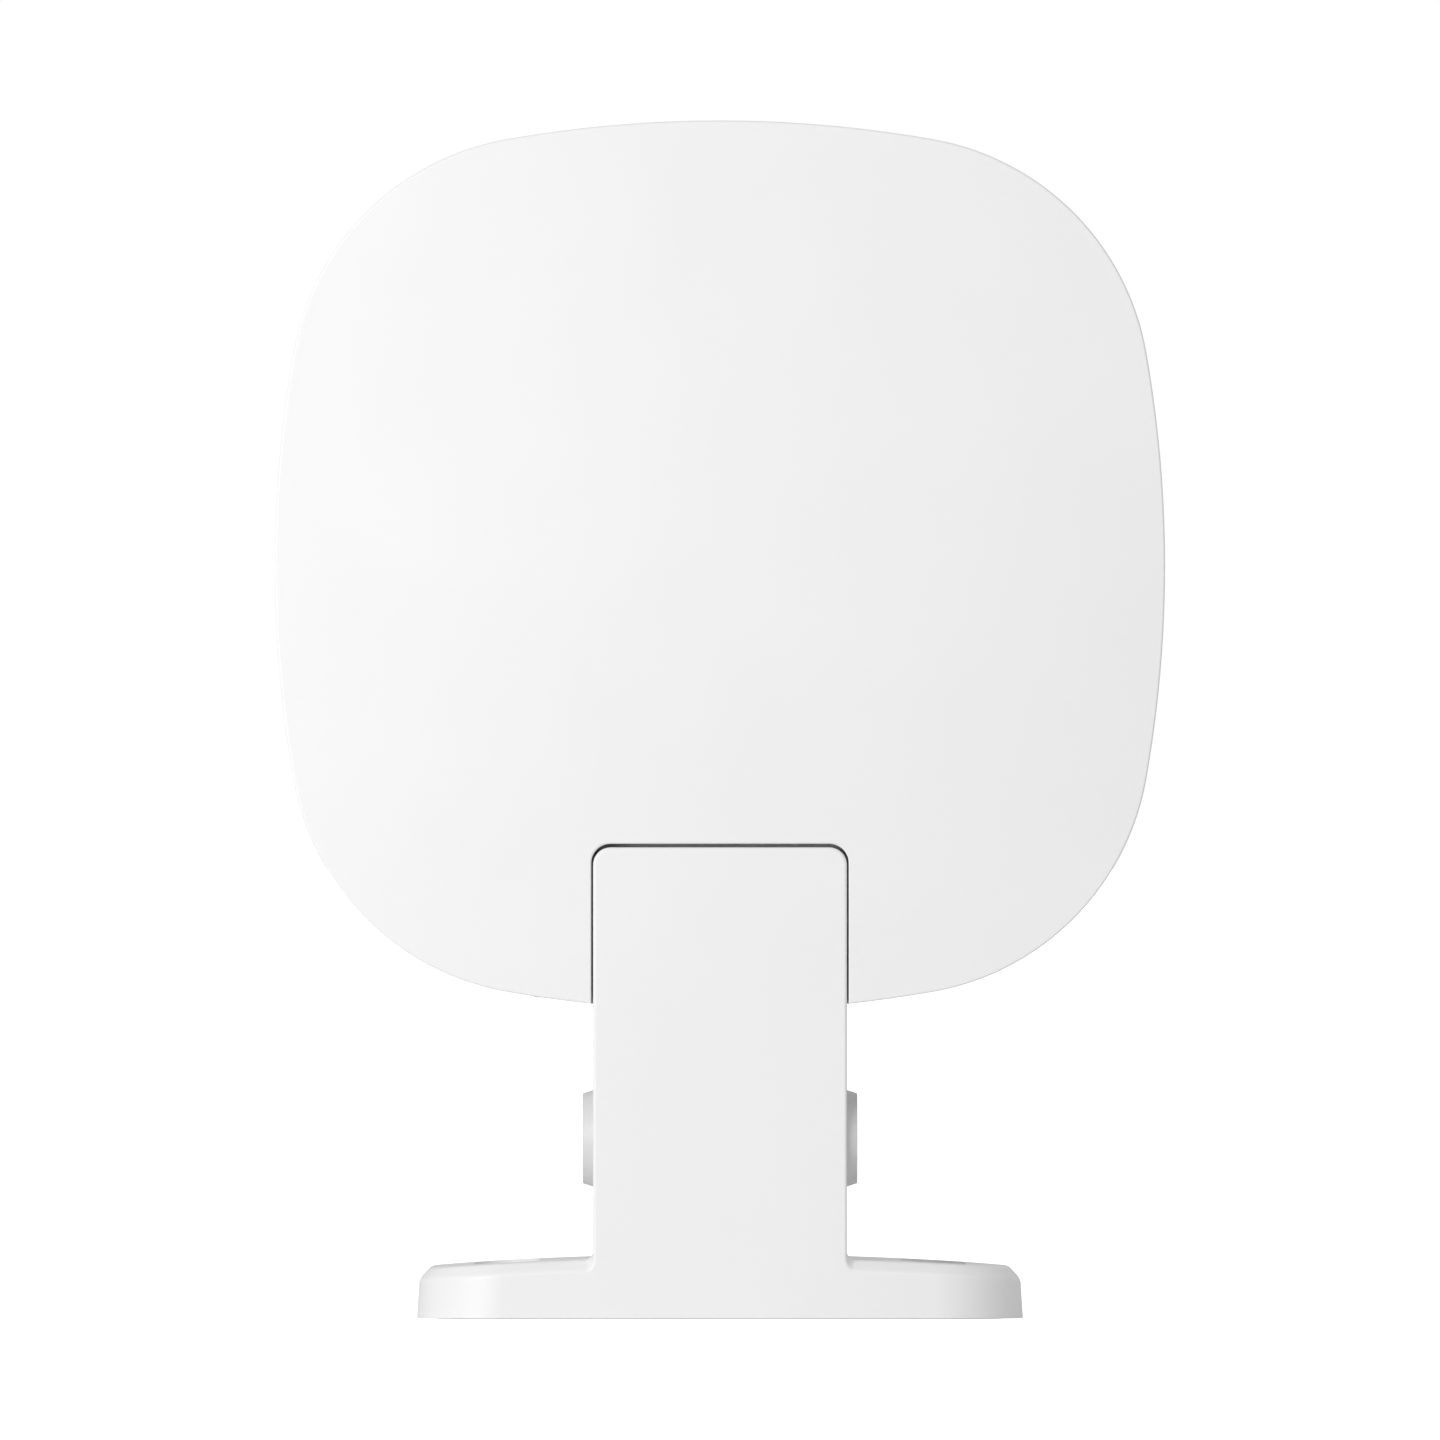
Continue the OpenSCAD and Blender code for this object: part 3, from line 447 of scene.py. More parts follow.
def rear_cavity():
    """The rear cover's inner space, less the pocket's wall, the screw posts and the sleeves."""
    sizes = bpy.context.scene.router_panel
    wall = sizes.wall
    floor_y = BACK_Y + sizes.pocket_depth + wall
    space = outline_plate(wall, BACK_Y + wall, SEAM_Y + PAST)
    posts = bmesh.new()
    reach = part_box("chassis_screws")[1].x - SCREW_HEAD
    for side_x in (-1, 1):
        for side_z in (-1, 1):
            x, z = side_x * reach, PANEL_Z + side_z * reach
            add_rod(posts, (x, BACK_Y, z), (x, CHASSIS_BACK, z), CHASSIS_POST)
    space = cut(space, pocket_block(wall, BACK_Y, floor_y), posts)
    for low, high in ((JACK_LOW, JACK_HIGH), (POWER_LOW, POWER_HIGH)):
        grow = sizes.socket_gap + sizes.collar_wall
        box_low, box_high = socket_box(low, high, grow, 0.002)
        box_high.y = min(box_high.y, SEAM_Y - 0.0006)
        space = cut(space, block(box_low, box_high))
    x, y = (BUTTON_LOW.x + BUTTON_HIGH.x) / 2, (BUTTON_LOW.y + BUTTON_HIGH.y) / 2
    sleeve = (BUTTON_HIGH.x - BUTTON_LOW.x) / 2 + sizes.collar_wall
    return cut(space, rod((x, y, REAR_LOW.z), (x, y, BUTTON_LOW.z + 0.0026), sleeve))


class ROUTER_OT_rear_cover(Operator):
    """Make the panel's rear cover, with the pocket for the stem and its openings"""

    bl_idname = "router.rear_cover"
    bl_label = "Rear Cover"

    def execute(self, context):
        sizes = context.scene.router_panel
        edge = sizes.mouth_edge
        shell = outline_plate(0, BACK_Y, SEAM_Y)
        round_edges(shell, rim_edges(shell, BACK_Y), sizes.back_edge, 3)
        shell = cut(shell, rear_cavity())
        half, top = pocket_size()
        radius = context.scene.router_stand.stem_corner + sizes.pocket_gap
        shell = cut(shell, mouth_cutter(
            (-half, BACK_Y, REAR_LOW.z - POCKET_RUN), (half, BACK_Y + sizes.pocket_depth, top),
            1, -1, radius, edge, 12,
        ))
        for low, high in ((JACK_LOW, JACK_HIGH), (POWER_LOW, POWER_HIGH)):
            box_low, box_high = socket_box(low, high, sizes.socket_gap, 0.003)
            shell = cut(shell, block(box_low, box_high, 2, 0.0006, 4))
        arm_back = BACK_Y + sizes.pocket_depth + sizes.wall - NECK_GAP
        shell = cut(shell, block(
            (NECK_LOW.x * 15 / 17 - NECK_GAP, arm_back, REAR_LOW.z - PAST),
            (NECK_HIGH.x * 15 / 17 + NECK_GAP, CHASSIS_BACK + NECK_GAP, REAR_LOW.z + 0.006), 2, 0.001, 4,
        ))
        x, y = (BUTTON_LOW.x + BUTTON_HIGH.x) / 2, (BUTTON_LOW.y + BUTTON_HIGH.y) / 2
        shell = cut(shell, rod((x, y, REAR_LOW.z - PAST), (x, y, BUTTON_HIGH.z + PAST), BUTTON_BORE))
        finish_piece("rear_shell", cleaned(shell), "panel", "white_cover", ["rear_cover"])
        return {"FINISHED"}


class ROUTER_OT_front_cover(Operator):
    """Make the panel's front cover, with its lip and the status light's bore"""

    bl_idname = "router.front_cover"
    bl_label = "Front Cover"

    def execute(self, context):
        sizes = context.scene.router_panel
        wall = sizes.wall
        rim_y, face_y = GASKET_HIGH.y, FRONT_HIGH.y
        shell = outline_plate(0, rim_y, face_y)
        round_edges(shell, rim_edges(shell, face_y), sizes.front_edge, 8)
        inside = outline_plate(wall, rim_y - PAST, face_y - wall)
        round_edges(inside, rim_edges(inside, face_y - wall), sizes.front_edge - wall / 2, 5)
        shell = cut(shell, inside)
        lip = outline_plate(wall + LIP_OUTSIDE, FRONT_LOW.y, rim_y + LIP_HIGH)
        lip = cut(lip, outline_plate(wall + LIP_INSIDE, FRONT_LOW.y - PAST, rim_y + LIP_CLEAR))
        lip = cut(lip, block(
            (POWER_LOW.x - LIP_NOTCH, FRONT_LOW.y - PAST, REAR_LOW.z - PAST),
            (JACK_HIGH.x + LIP_NOTCH, rim_y, POWER_LOW.z + LIP_NOTCH),
        ))
        overlap = outline_plate(wall - 0.0003, rim_y + 0.0005, rim_y + LIP_HIGH)
        overlap = cut(overlap, outline_plate(wall + LIP_INSIDE, rim_y, rim_y + LIP_CLEAR))
        shell = join(shell, join(lip, overlap))
        x, z = (PIPE_LOW.x + PIPE_HIGH.x) / 2, (PIPE_LOW.z + PIPE_HIGH.z) / 2
        bore = (PIPE_HIGH.x - PIPE_LOW.x) / 2 + 0.00005
        shell = cut(
            shell,
            rod((x, SEAM_Y, z), (x, face_y + PAST, z), bore),
            rod((x, face_y - 0.0001, z), (x, face_y + PAST, z), bore, bore + PAST),
        )
        finish_piece("front_shell", cleaned(shell), "panel", "white_cover", ["front_cover"])
        return {"FINISHED"}


class ROUTER_OT_seam_gasket(Operator):
    """Make the thin gasket between the covers"""

    bl_idname = "router.seam_gasket"
    bl_label = "Seam Gasket"

    def execute(self, context):
        wall = context.scene.router_panel.wall
        ring = outline_plate(0.0005, GASKET_LOW.y, GASKET_HIGH.y)
        ring = cut(ring, outline_plate(wall - 0.0001, GASKET_LOW.y - PAST, GASKET_HIGH.y + PAST))
        finish_piece("seam_seal", cleaned(ring), "panel", "gasket_silicone", ["seam_gasket"])
        return {"FINISHED"}


class ROUTER_OT_neck(Operator):
    """Make the neck: a barrel on the pivot, a shoulder and a flat plate inside the panel"""

    bl_idname = "router.neck"
    bl_label = "Neck"

    def execute(self, context):
        half = NECK_HIGH.x
        arm_half = half * 15 / 17
        back_y = CHASSIS_BACK - NECK_PLATE
        barrel_r = PIVOT.z - NECK_LOW.z
        barrel = rod(PIVOT - Vector((half, 0, 0)), PIVOT + Vector((half, 0, 0)), barrel_r, steps=96)
        ends = edges_among(barrel.verts, lambda co: abs(abs(co.x) - half) < 1e-6)
        round_edges(barrel, [e for e in ends if e.verts[0].co.x * e.verts[1].co.x > 0], 0.0006, 3)
        arm = block((-arm_half, back_y, PIVOT.z), (arm_half, back_y + NECK_ARM, REAR_LOW.z - 0.0003))
        round_edges(arm, [e for e in arm.edges if max(v.co.z for v in e.verts) > PIVOT.z + PAST], 0.0008, 3)
        plate_high = (arm_half, back_y + NECK_PLATE, NECK_HIGH.z)
        plate = block((-arm_half, back_y, PIVOT.z), plate_high, 1, 0.0012, 4)
        neck = join(barrel, arm, plate)
        bore_end = Vector((BORE_REACH, 0, 0))
        neck = cut(neck, rod(PIVOT - bore_end, PIVOT + bore_end, BOLT_BORE, steps=48))
        holes = bmesh.new()
        screw_low, screw_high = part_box("neck_screws")
        for x in (screw_low.x + SCREW_HEAD, screw_high.x - SCREW_HEAD):
            for z in (screw_low.z + SCREW_HEAD, screw_high.z - SCREW_HEAD):
                end = (x, CHASSIS_BACK + PAST, z)
                add_rod(holes, (x, back_y - PAST, z), end, NECK_SCREW_BORE, steps=32)
        neck = cut(neck, holes)
        finish_piece("neck_casting", cleaned(neck), "panel", "neck_alloy", ["neck"])
        return {"FINISHED"}


class ROUTER_OT_pairing_button(Operator):
    """Make the sprung button on the panel's underside"""

    bl_idname = "router.pairing_button"
    bl_label = "Pairing Button"

    def execute(self, context):
        x, y = (BUTTON_LOW.x + BUTTON_HIGH.x) / 2, (BUTTON_LOW.y + BUTTON_HIGH.y) / 2
        flange = (BUTTON_HIGH.x - BUTTON_LOW.x) / 2
        face_r = flange - 0.0009
        profile = [
            (0, BUTTON_LOW.z), (face_r * 0.8, BUTTON_LOW.z + 0.0001), (face_r, BUTTON_LOW.z + 0.0005),
        ]
        seat = BUTTON_HIGH.z - 0.0016
        profile += [(face_r, seat - 0.001), (flange, seat - 0.001), (flange, seat)]
        profile += [(0.0012, seat), (0.0012, BUTTON_HIGH.z), (0, BUTTON_HIGH.z)]
        bm = lathe(profile, Vector((x, y, 0)), Vector((0, 0, 1)), Vector((1, 0, 0)), 48)
        finish_piece("button_cap", bm, "button", "button_grey", ["pairing_button"])
        return {"FINISHED"}


def lathe(profile, centre, axis, outward, steps):
    """A turned solid: profile points are (distance from the axis, place along it)."""
    bm = bmesh.new()
    points = [bm.verts.new(centre + outward * r + axis * along) for r, along in profile]
    edges = [bm.edges.new(pair) for pair in zip(points, points[1:])]
    bmesh.ops.spin(
        bm, geom=points + edges, cent=centre, axis=axis, angle=2 * math.pi, steps=steps,
        use_merge=True, use_duplicate=False,
    )
    bmesh.ops.remove_doubles(bm, verts=bm.verts, dist=1e-7)
    bmesh.ops.recalc_face_normals(bm, faces=bm.faces)
    return bm


# The stand's pieces


def crown_drop(x):
    """How far the base's crowned top lies below its middle at x."""
    radius = bpy.context.scene.router_stand.crown_radius
    return radius - math.sqrt(radius * radius - x * x)


def crown_base(bm, top, straight):
    """Lowers the base's top towards its ends; what lies above `top` stays."""
    for vert in bm.verts:
        if vert.co.z > top:
            continue
        share = min(1, max(0, (vert.co.z - STAND_LOW.z) / (straight - STAND_LOW.z)))
        vert.co.z -= share * crown_drop(vert.co.x)


def base_form(inset, top, bevel, floor):
    """The base's leaning, bevelled block, moved in by inset."""
    sizes = bpy.context.scene.router_stand
    half, back, front = STAND_HIGH.x - inset, STAND_LOW.y + inset, STAND_HIGH.y - inset
    bm = bmesh.new()
    add_rounded_block(bm, (-half, back, floor), (half, front, top), 2, sizes.base_corner - inset, 14)
    for vert in bm.verts:
        if vert.co.z > floor + PAST:
            vert.co.x -= math.copysign(sizes.base_lean, vert.co.x)
    rim = edges_among(bm.verts, lambda co: abs(co.z - top) < SAME_LEVEL)
    round_edges(bm, rim, bevel, 1)
    return bm


def split_across(bm, faces, x):
    """Splits some faces by a plane across X."""
    geometry = set(faces)
    for face in faces:
        geometry.update(face.verts, face.edges)
    bmesh.ops.bisect_plane(bm, geom=list(geometry), dist=1e-6, plane_co=(x, 0, 0), plane_no=(1, 0, 0))


def crown_steps(bm, edge_x, top):
    """Splits a base form at the stem's sides, at even steps, and at the points of its corners."""
    sizes = bpy.context.scene.router_stand
    corner_x = STAND_HIGH.x - sizes.base_corner - sizes.base_lean
    arc = {
        round(abs(v.co.x), 6) for v in bm.verts
        if abs(v.co.z - top) < SAME_PLACE and abs(v.co.x) > corner_x + 1e-5
    }
    count = math.ceil((corner_x - edge_x) / sizes.crown_pitch)
    places = [edge_x + (corner_x - edge_x) * i / count for i in range(count)]
    inner = math.ceil(edge_x / sizes.crown_pitch)
    places += [edge_x * i / inner for i in range(inner)]
    for x in sorted({side * place for place in places for side in (-1, 1)}):
        split_across(bm, list(bm.faces), x)
    for x in sorted({side * place for place in arc for side in (-1, 1)}):
        bm.normal_update()
        split_across(bm, [face for face in bm.faces if face.normal.z > 0.99], x)


def stem_footprint(bm, half, front_y):
    """Opens the base's top where the stem stands and returns the edges round the opening."""
    under = [
        face for face in bm.faces
        if face.normal.z > 0.3 and abs(face.calc_center_median().x) < half and
        min(vert.co.y for vert in face.verts) < front_y
    ]
    geometry = set(under)
    for face in under:
        geometry.update(face.verts, face.edges)
    bmesh.ops.bisect_plane(bm, geom=list(geometry), plane_co=(0, front_y, 0), plane_no=(0, 1, 0))
    under = [
        face for face in bm.faces
        if face.normal.z > 0.3 and abs(face.calc_center_median().x) < half and
        face.calc_center_median().y < front_y
    ]
    bmesh.ops.delete(bm, geom=under, context="FACES")
    return [edge for edge in bm.edges if edge.is_boundary]


def pull_up(bm, edges, place):
    """Extrudes a loop of edges and sets each new point where place says; returns the new loop."""
    made = bmesh.ops.extrude_edge_only(bm, edges=edges)["geom"]
    for item in made:
        if isinstance(item, bmesh.types.BMVert):
            item.co = place(item.co)
    return [item for item in made if isinstance(item, bmesh.types.BMEdge) and item.is_boundary]


def stand_form():
    """The stand's outer form: base and stem in one skin, with its fillets."""
    sizes = bpy.context.scene.router_stand
    half, top = sizes.stem_width / 2, sizes.base_height
    front_y, upper_y = BACK_Y + sizes.stem_depth, BACK_Y + sizes.stem_top_depth
    shoulder_top = REAR_LOW.z - sizes.shoulder_drop
    shoulder_low = shoulder_top - sizes.shoulder_height
    bm = base_form(0, top, sizes.base_bevel, STAND_LOW.z)
    crown_steps(bm, half, top)
    crown_base(bm, top + PAST, top - sizes.base_bevel)
    bm.normal_update()
    loop = stem_footprint(bm, half, front_y)
    loop = pull_up(bm, loop, lambda co: Vector((co.x, co.y, shoulder_low)))
    loop = pull_up(bm, loop, lambda co: Vector((co.x, min(co.y, upper_y), shoulder_top)))
    loop = pull_up(bm, loop, lambda co: Vector((co.x, co.y, STEM_TOP)))
    bmesh.ops.edgeloop_fill(bm, edges=loop)
    bmesh.ops.remove_doubles(bm, verts=bm.verts, dist=1e-6)
    bmesh.ops.recalc_face_normals(bm, faces=bm.faces)
    bmesh.ops.dissolve_limit(
        bm, angle_limit=math.radians(0.1), use_dissolve_boundaries=False, verts=bm.verts, edges=bm.edges,
    )
    corners = edges_among(bm.verts, lambda co: co.z > STEM_TOP - 1e-6)
    corners = [e for e in corners if abs(e.verts[0].co.x - e.verts[1].co.x) < SAME_PLACE]
    round_edges(bm, corners, sizes.stem_corner, 10)
    bm.normal_update()
    inner = [
        e for e in bm.edges
        if len(e.link_faces) == 2 and e.calc_face_angle_signed() < -math.radians(20)
        and max(v.co.z for v in e.verts) < shoulder_low - PAST
    ]
    round_edges(bm, inner, sizes.foot_fillet, 5)
    bm.normal_update()
    outer = [
        e for e in bm.edges
        if len(e.link_faces) == 2 and e.calc_face_angle_signed() > math.radians(28)
        and min(v.co.z for v in e.verts) > STAND_LOW.z + PAST
    ]
    round_edges(bm, outer, sizes.edge_fillet, 3, clamp=False)
    return bm


def slot_place(side):
    """The middle of one slot from above."""
    low, high = (Vector(corner) for corner in OPENINGS["slot_right"]["box_m"])
    return side * (low.x + high.x) / 2, (low.y + high.y) / 2


def slot_block(side, half_w, half_l, low, high, steps=12):
    """A round-ended upright block on one slot's middle."""
    x, y = slot_place(side)
    low_corner, high_corner = (x - half_w, y - half_l, low), (x + half_w, y + half_l, high)
    return block(low_corner, high_corner, 2, half_w * NEAR_ROUND, steps)


def slot_cutters(side):
    """The countersunk part of one slot, its chamfered mouth, and the narrower slot below."""
    sizes = bpy.context.scene.router_stand
    x, y = slot_place(side)
    half_w, half_l = sizes.slot_head_width / 2, sizes.slot_length / 2
    top = sizes.base_height - crown_drop(x)
    head = mouth_cutter(
        (x - half_w, y - half_l, sizes.base_height - sizes.slot_head_depth), (x + half_w, y + half_l, top),
        2, 1, half_w * NEAR_ROUND, SLOT_MOUTH, 12,
    )
    shank_w = sizes.slot_shank_width / 2
    return head, slot_block(side, shank_w, half_l - half_w + shank_w, -PAST, sizes.base_height)


def base_cavity():
    """The space inside the base, less the walls round the slots and the screw posts."""
    sizes = bpy.context.scene.router_stand
    wall = sizes.base_wall
    space = base_form(wall, sizes.base_height - wall, sizes.base_bevel, -PAST)
    crown_steps(space, sizes.stem_width / 2, sizes.base_height - wall)
    crown_base(space, 1, sizes.base_height - wall - sizes.base_bevel)
    half_w = sizes.slot_head_width / 2 + sizes.slot_wall
    half_l = sizes.slot_length / 2 + sizes.slot_wall
    floor, roof = PLATE_TOP, sizes.base_height
    for side in (-1, 1):
        space = cut(space, slot_block(side, half_w, half_l, floor, roof))
    posts = bmesh.new()
    base_low, base_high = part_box("base_screws")
    for x in (base_low.x + BASE_SCREW_HEAD, base_high.x - BASE_SCREW_HEAD):
        for y in (base_low.y + BASE_SCREW_HEAD, base_high.y - BASE_SCREW_HEAD):
            add_rod(posts, (x, y, floor), (x, y, roof), BASE_POST, steps=32)
    ballast_low, ballast_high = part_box("ballast_screws")
    plate_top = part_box("ballast_plate")[1].z
    y = (ballast_low.y + ballast_high.y) / 2
    for x in (ballast_low.x + BALLAST_SCREW_HEAD, ballast_high.x - BALLAST_SCREW_HEAD):
        add_rod(posts, (x, y, plate_top), (x, y, roof), BALLAST_POST, steps=32)
    return cut(space, posts)


class ROUTER_OT_stand_body(Operator):
    """Make the stand: a wide crowned base with two slots, and an upright stem"""

    bl_idname = "router.stand_body"
    bl_label = "Stand Body"

    def execute(self, context):
        sizes = context.scene.router_stand
        body = stand_form()
        body = cut(body, base_cavity())
        channel = sizes.stem_width / 2 - sizes.stem_wall
        body = cut(body, block(
            (-channel, BACK_Y + sizes.stem_wall, sizes.base_height + 0.0003),
            (channel, BACK_Y + sizes.stem_depth + PAST, STEM_TOP - sizes.stem_wall), 1, 0.0006, 4,
        ))
        for side in (-1, 1):
            body = cut(body, *slot_cutters(side))
            seat, end = Vector((side * CAP_LOW.x, 0, 0)), Vector((side * (CAP_HIGH.x + PAST), 0, 0))
            body = cut(body, rod(PIVOT + seat, PIVOT + end, CAP_SEAT))
        bore_end = Vector((CAP_HIGH.x, 0, 0))
        body = cut(body, rod(PIVOT - bore_end, PIVOT + bore_end, BOLT_BORE, steps=48))
        finish_piece("stand_shell", cleaned(body), "stand", "white_shell", ["stand_body"])
        return {"FINISHED"}


class ROUTER_OT_pivot_caps(Operator):
    """Make the two tapered caps over the ends of the pivot"""

    bl_idname = "router.pivot_caps"
    bl_label = "Pivot Caps"

    def execute(self, context):
        draft = context.scene.router_stand.cap_draft
        radius = (CAP_HIGH.z - CAP_LOW.z) / 2
        seat, face = context.scene.router_stand.stem_width / 2, CAP_HIGH.x
        edge = 0.00025
        outer = radius - draft
        profile = [(0, face), (outer - edge, face)]
        profile += [(outer - edge * 0.3, face - edge * 0.3), (outer, face - edge)]
        profile += [(radius, seat), (0.0062, seat), (0.0062, CAP_LOW.x), (0.0052, CAP_LOW.x)]
        profile += [(0.0052, CAP_LOW.x + 0.0021), (0, CAP_LOW.x + 0.0021)]
        centre = Vector((0, PIVOT.y, PIVOT.z))
        for side, name in ((-1, "left"), (1, "right")):
            axis = Vector((side, 0, 0))
            bm = lathe(profile, centre, axis, Vector((0, 0, 1)), 96)
            finish_piece(f"cap_{name}", bm, "stand", "cap_plastic", [f"pivot_cap_{name}"])
        return {"FINISHED"}


class ROUTER_OT_foot_pad(Operator):
    """Make the soft pad under the base"""

    bl_idname = "router.foot_pad"
    bl_label = "Foot Pad"

    def execute(self, context):
        sizes = context.scene.router_stand
        radius = sizes.base_corner - (STAND_HIGH.x - PAD_HIGH.x)
        pad = block(PAD_LOW, PAD_HIGH, 2, radius, 14)
        round_edges(pad, edges_among(pad.verts, lambda co: abs(co.z - PAD_LOW.z) < SAME_LEVEL), 0.0002, 2)
        half_w = sizes.slot_shank_width / 2 + 0.0005
        half_l = sizes.slot_length / 2 - sizes.slot_head_width / 2 + half_w
        for side in (-1, 1):
            pad = cut(pad, slot_block(side, half_w, half_l, -PAST, 0.002, 10))
        finish_piece("foot_pad_soft", cleaned(pad), "stand", "pad_rubber", ["foot_pad"])
        return {"FINISHED"}


# Materials


def start_material(name, colour, roughness, metallic=0.0):
    """A principled material and the sockets that its patterns start from."""
    material = bpy.data.materials.new(name)
    material.use_nodes = True
    tree = material.node_tree
    shader = tree.nodes["Principled BSDF"]
    shader.inputs["Base Color"].default_value = (*colour, 1)
    shader.inputs["Roughness"].default_value = roughness
    shader.inputs["Metallic"].default_value = metallic
    return material, tree, shader


def add_noise(tree, scale, detail=3, stretch=(1, 1, 1)):
    """Noise on the object's own coordinates, drawn out along an axis by stretch."""
    where = tree.nodes.new("ShaderNodeTexCoord")
    place = tree.nodes.new("ShaderNodeMapping")
    place.inputs["Scale"].default_value = stretch
    noise = tree.nodes.new("ShaderNodeTexNoise")
    noise.inputs["Scale"].default_value = scale
    noise.inputs["Detail"].default_value = detail
    tree.links.new(where.outputs["Object"], place.inputs["Vector"])
    tree.links.new(place.outputs["Vector"], noise.inputs["Vector"])
    return noise.outputs["Fac"]


def add_cells(tree, scale, feature="F1"):
    where = tree.nodes.new("ShaderNodeTexCoord")
    cells = tree.nodes.new("ShaderNodeTexVoronoi")
    cells.feature = feature
    cells.inputs["Scale"].default_value = scale
    tree.links.new(where.outputs["Object"], cells.inputs["Vector"])
    return cells.outputs["Distance"]


def add_bump(tree, shader, height, depth, strength):
    bump = tree.nodes.new("ShaderNodeBump")
    bump.inputs["Distance"].default_value = depth
    bump.inputs["Strength"].default_value = strength
    tree.links.new(height, bump.inputs["Height"])
    tree.links.new(bump.outputs["Normal"], shader.inputs["Normal"])


def vary(tree, factor, socket, low, high, start=0.35, end=0.65):
    """Sends a pattern to a socket as values from low to high."""
    spread = tree.nodes.new("ShaderNodeMapRange")
    spread.inputs["From Min"].default_value = start
    spread.inputs["From Max"].default_value = end
    spread.inputs["To Min"].default_value = low
    spread.inputs["To Max"].default_value = high
    tree.links.new(factor, spread.inputs["Value"])
    tree.links.new(spread.outputs["Result"], socket)


def tint(tree, shader, factor, first, second, start=0.3, end=0.7):
    """Colours the surface between two colours by a pattern."""
    ramp = tree.nodes.new("ShaderNodeValToRGB")
    ramp.color_ramp.elements[0].position = start
    ramp.color_ramp.elements[1].position = end
    ramp.color_ramp.elements[0].color = (*first, 1)
    ramp.color_ramp.elements[1].color = (*second, 1)
    tree.links.new(factor, ramp.inputs["Fac"])
    tree.links.new(ramp.outputs["Color"], shader.inputs["Base Color"])


def scaled(colour, share):
    return tuple(channel * share for channel in colour)


def satin_plastic(name, colour, grain, roughness=0.38):
    """Moulded plastic with a fine even grain and slightly uneven gloss."""
    material, tree, shader = start_material(name, colour, roughness)
    shader.inputs["Specular IOR Level"].default_value = 0.42
    tint(tree, shader, add_noise(tree, 14, 2), scaled(colour, 0.985), scaled(colour, 1.01))
    vary(tree, add_noise(tree, 55, 2), shader.inputs["Roughness"], roughness - 0.04, roughness + 0.05)
    add_bump(tree, shader, add_noise(tree, 2600, 4), 0.000012, grain)
    return material


def soft_rubber(name, colour, cell_scale):
    """Matt silicone with a pebbled face."""
    material, tree, shader = start_material(name, colour, 0.8)
    shader.inputs["Sheen Weight"].default_value = 0.15
    tint(tree, shader, add_noise(tree, 90, 3), scaled(colour, 0.88), scaled(colour, 1.1))
    vary(tree, add_noise(tree, 300, 2), shader.inputs["Roughness"], 0.7, 0.88)
    add_bump(tree, shader, add_cells(tree, cell_scale), 0.00006, 0.35)
    return material


def brushed_metal(name, colour, roughness, stretch=(1, 30, 30)):
    """Metal with fine lines along one axis and a mottled plating."""
    material, tree, shader = start_material(name, colour, roughness, 1.0)
    tint(tree, shader, add_noise(tree, 120, 4), scaled(colour, 0.9), scaled(colour, 1.06))
    lines = add_noise(tree, 160, 3, stretch)
    vary(tree, lines, shader.inputs["Roughness"], roughness - 0.08, roughness + 0.12)
    add_bump(tree, shader, lines, 0.00001, 0.25)
    return material


def painted_casting(name, colour):
    """Powder-painted alloy with a soft orange-peel skin."""
    material, tree, shader = start_material(name, colour, 0.5)
    shader.inputs["Coat Weight"].default_value = 0.15
    tint(tree, shader, add_noise(tree, 40, 3), scaled(colour, 0.96), scaled(colour, 1.03))
    vary(tree, add_noise(tree, 200, 2), shader.inputs["Roughness"], 0.42, 0.58)
    add_bump(tree, shader, add_noise(tree, 900, 2), 0.00004, 0.3)
    return material


def circuit_board(name, colour):
    """Solder resist over glass fibre, paler where the copper tracks run below it."""
    material, tree, shader = start_material(name, colour, 0.35)
    shader.inputs["Coat Weight"].default_value = 0.3
    cells = add_cells(tree, 160, "DISTANCE_TO_EDGE")
    tint(tree, shader, cells, scaled(colour, 2.1), colour, 0.04, 0.07)
    vary(tree, add_noise(tree, 500, 2), shader.inputs["Roughness"], 0.28, 0.42)
    add_bump(tree, shader, cells, 0.00003, 0.3)
    return material


def pressed_fibre(name, colour):
    material, tree, shader = start_material(name, colour, 0.85)
    threads = add_noise(tree, 900, 5, (1, 1, 4))
    tint(tree, shader, threads, scaled(colour, 0.6), scaled(colour, 1.5))
    add_bump(tree, shader, threads, 0.00005, 0.5)
    return material


def clear_resin(name, colour, roughness):
    """Clear moulded resin, faintly frosted."""
    material, tree, shader = start_material(name, colour, roughness)
    shader.inputs["Transmission Weight"].default_value = 0.85
    shader.inputs["IOR"].default_value = 1.49
    vary(tree, add_noise(tree, 700, 2), shader.inputs["Roughness"], roughness, roughness + 0.15)
    add_bump(tree, shader, add_noise(tree, 1500, 2), 0.00001, 0.2)
    return material


def material_name(slot):
    return f"finish_{slot}"


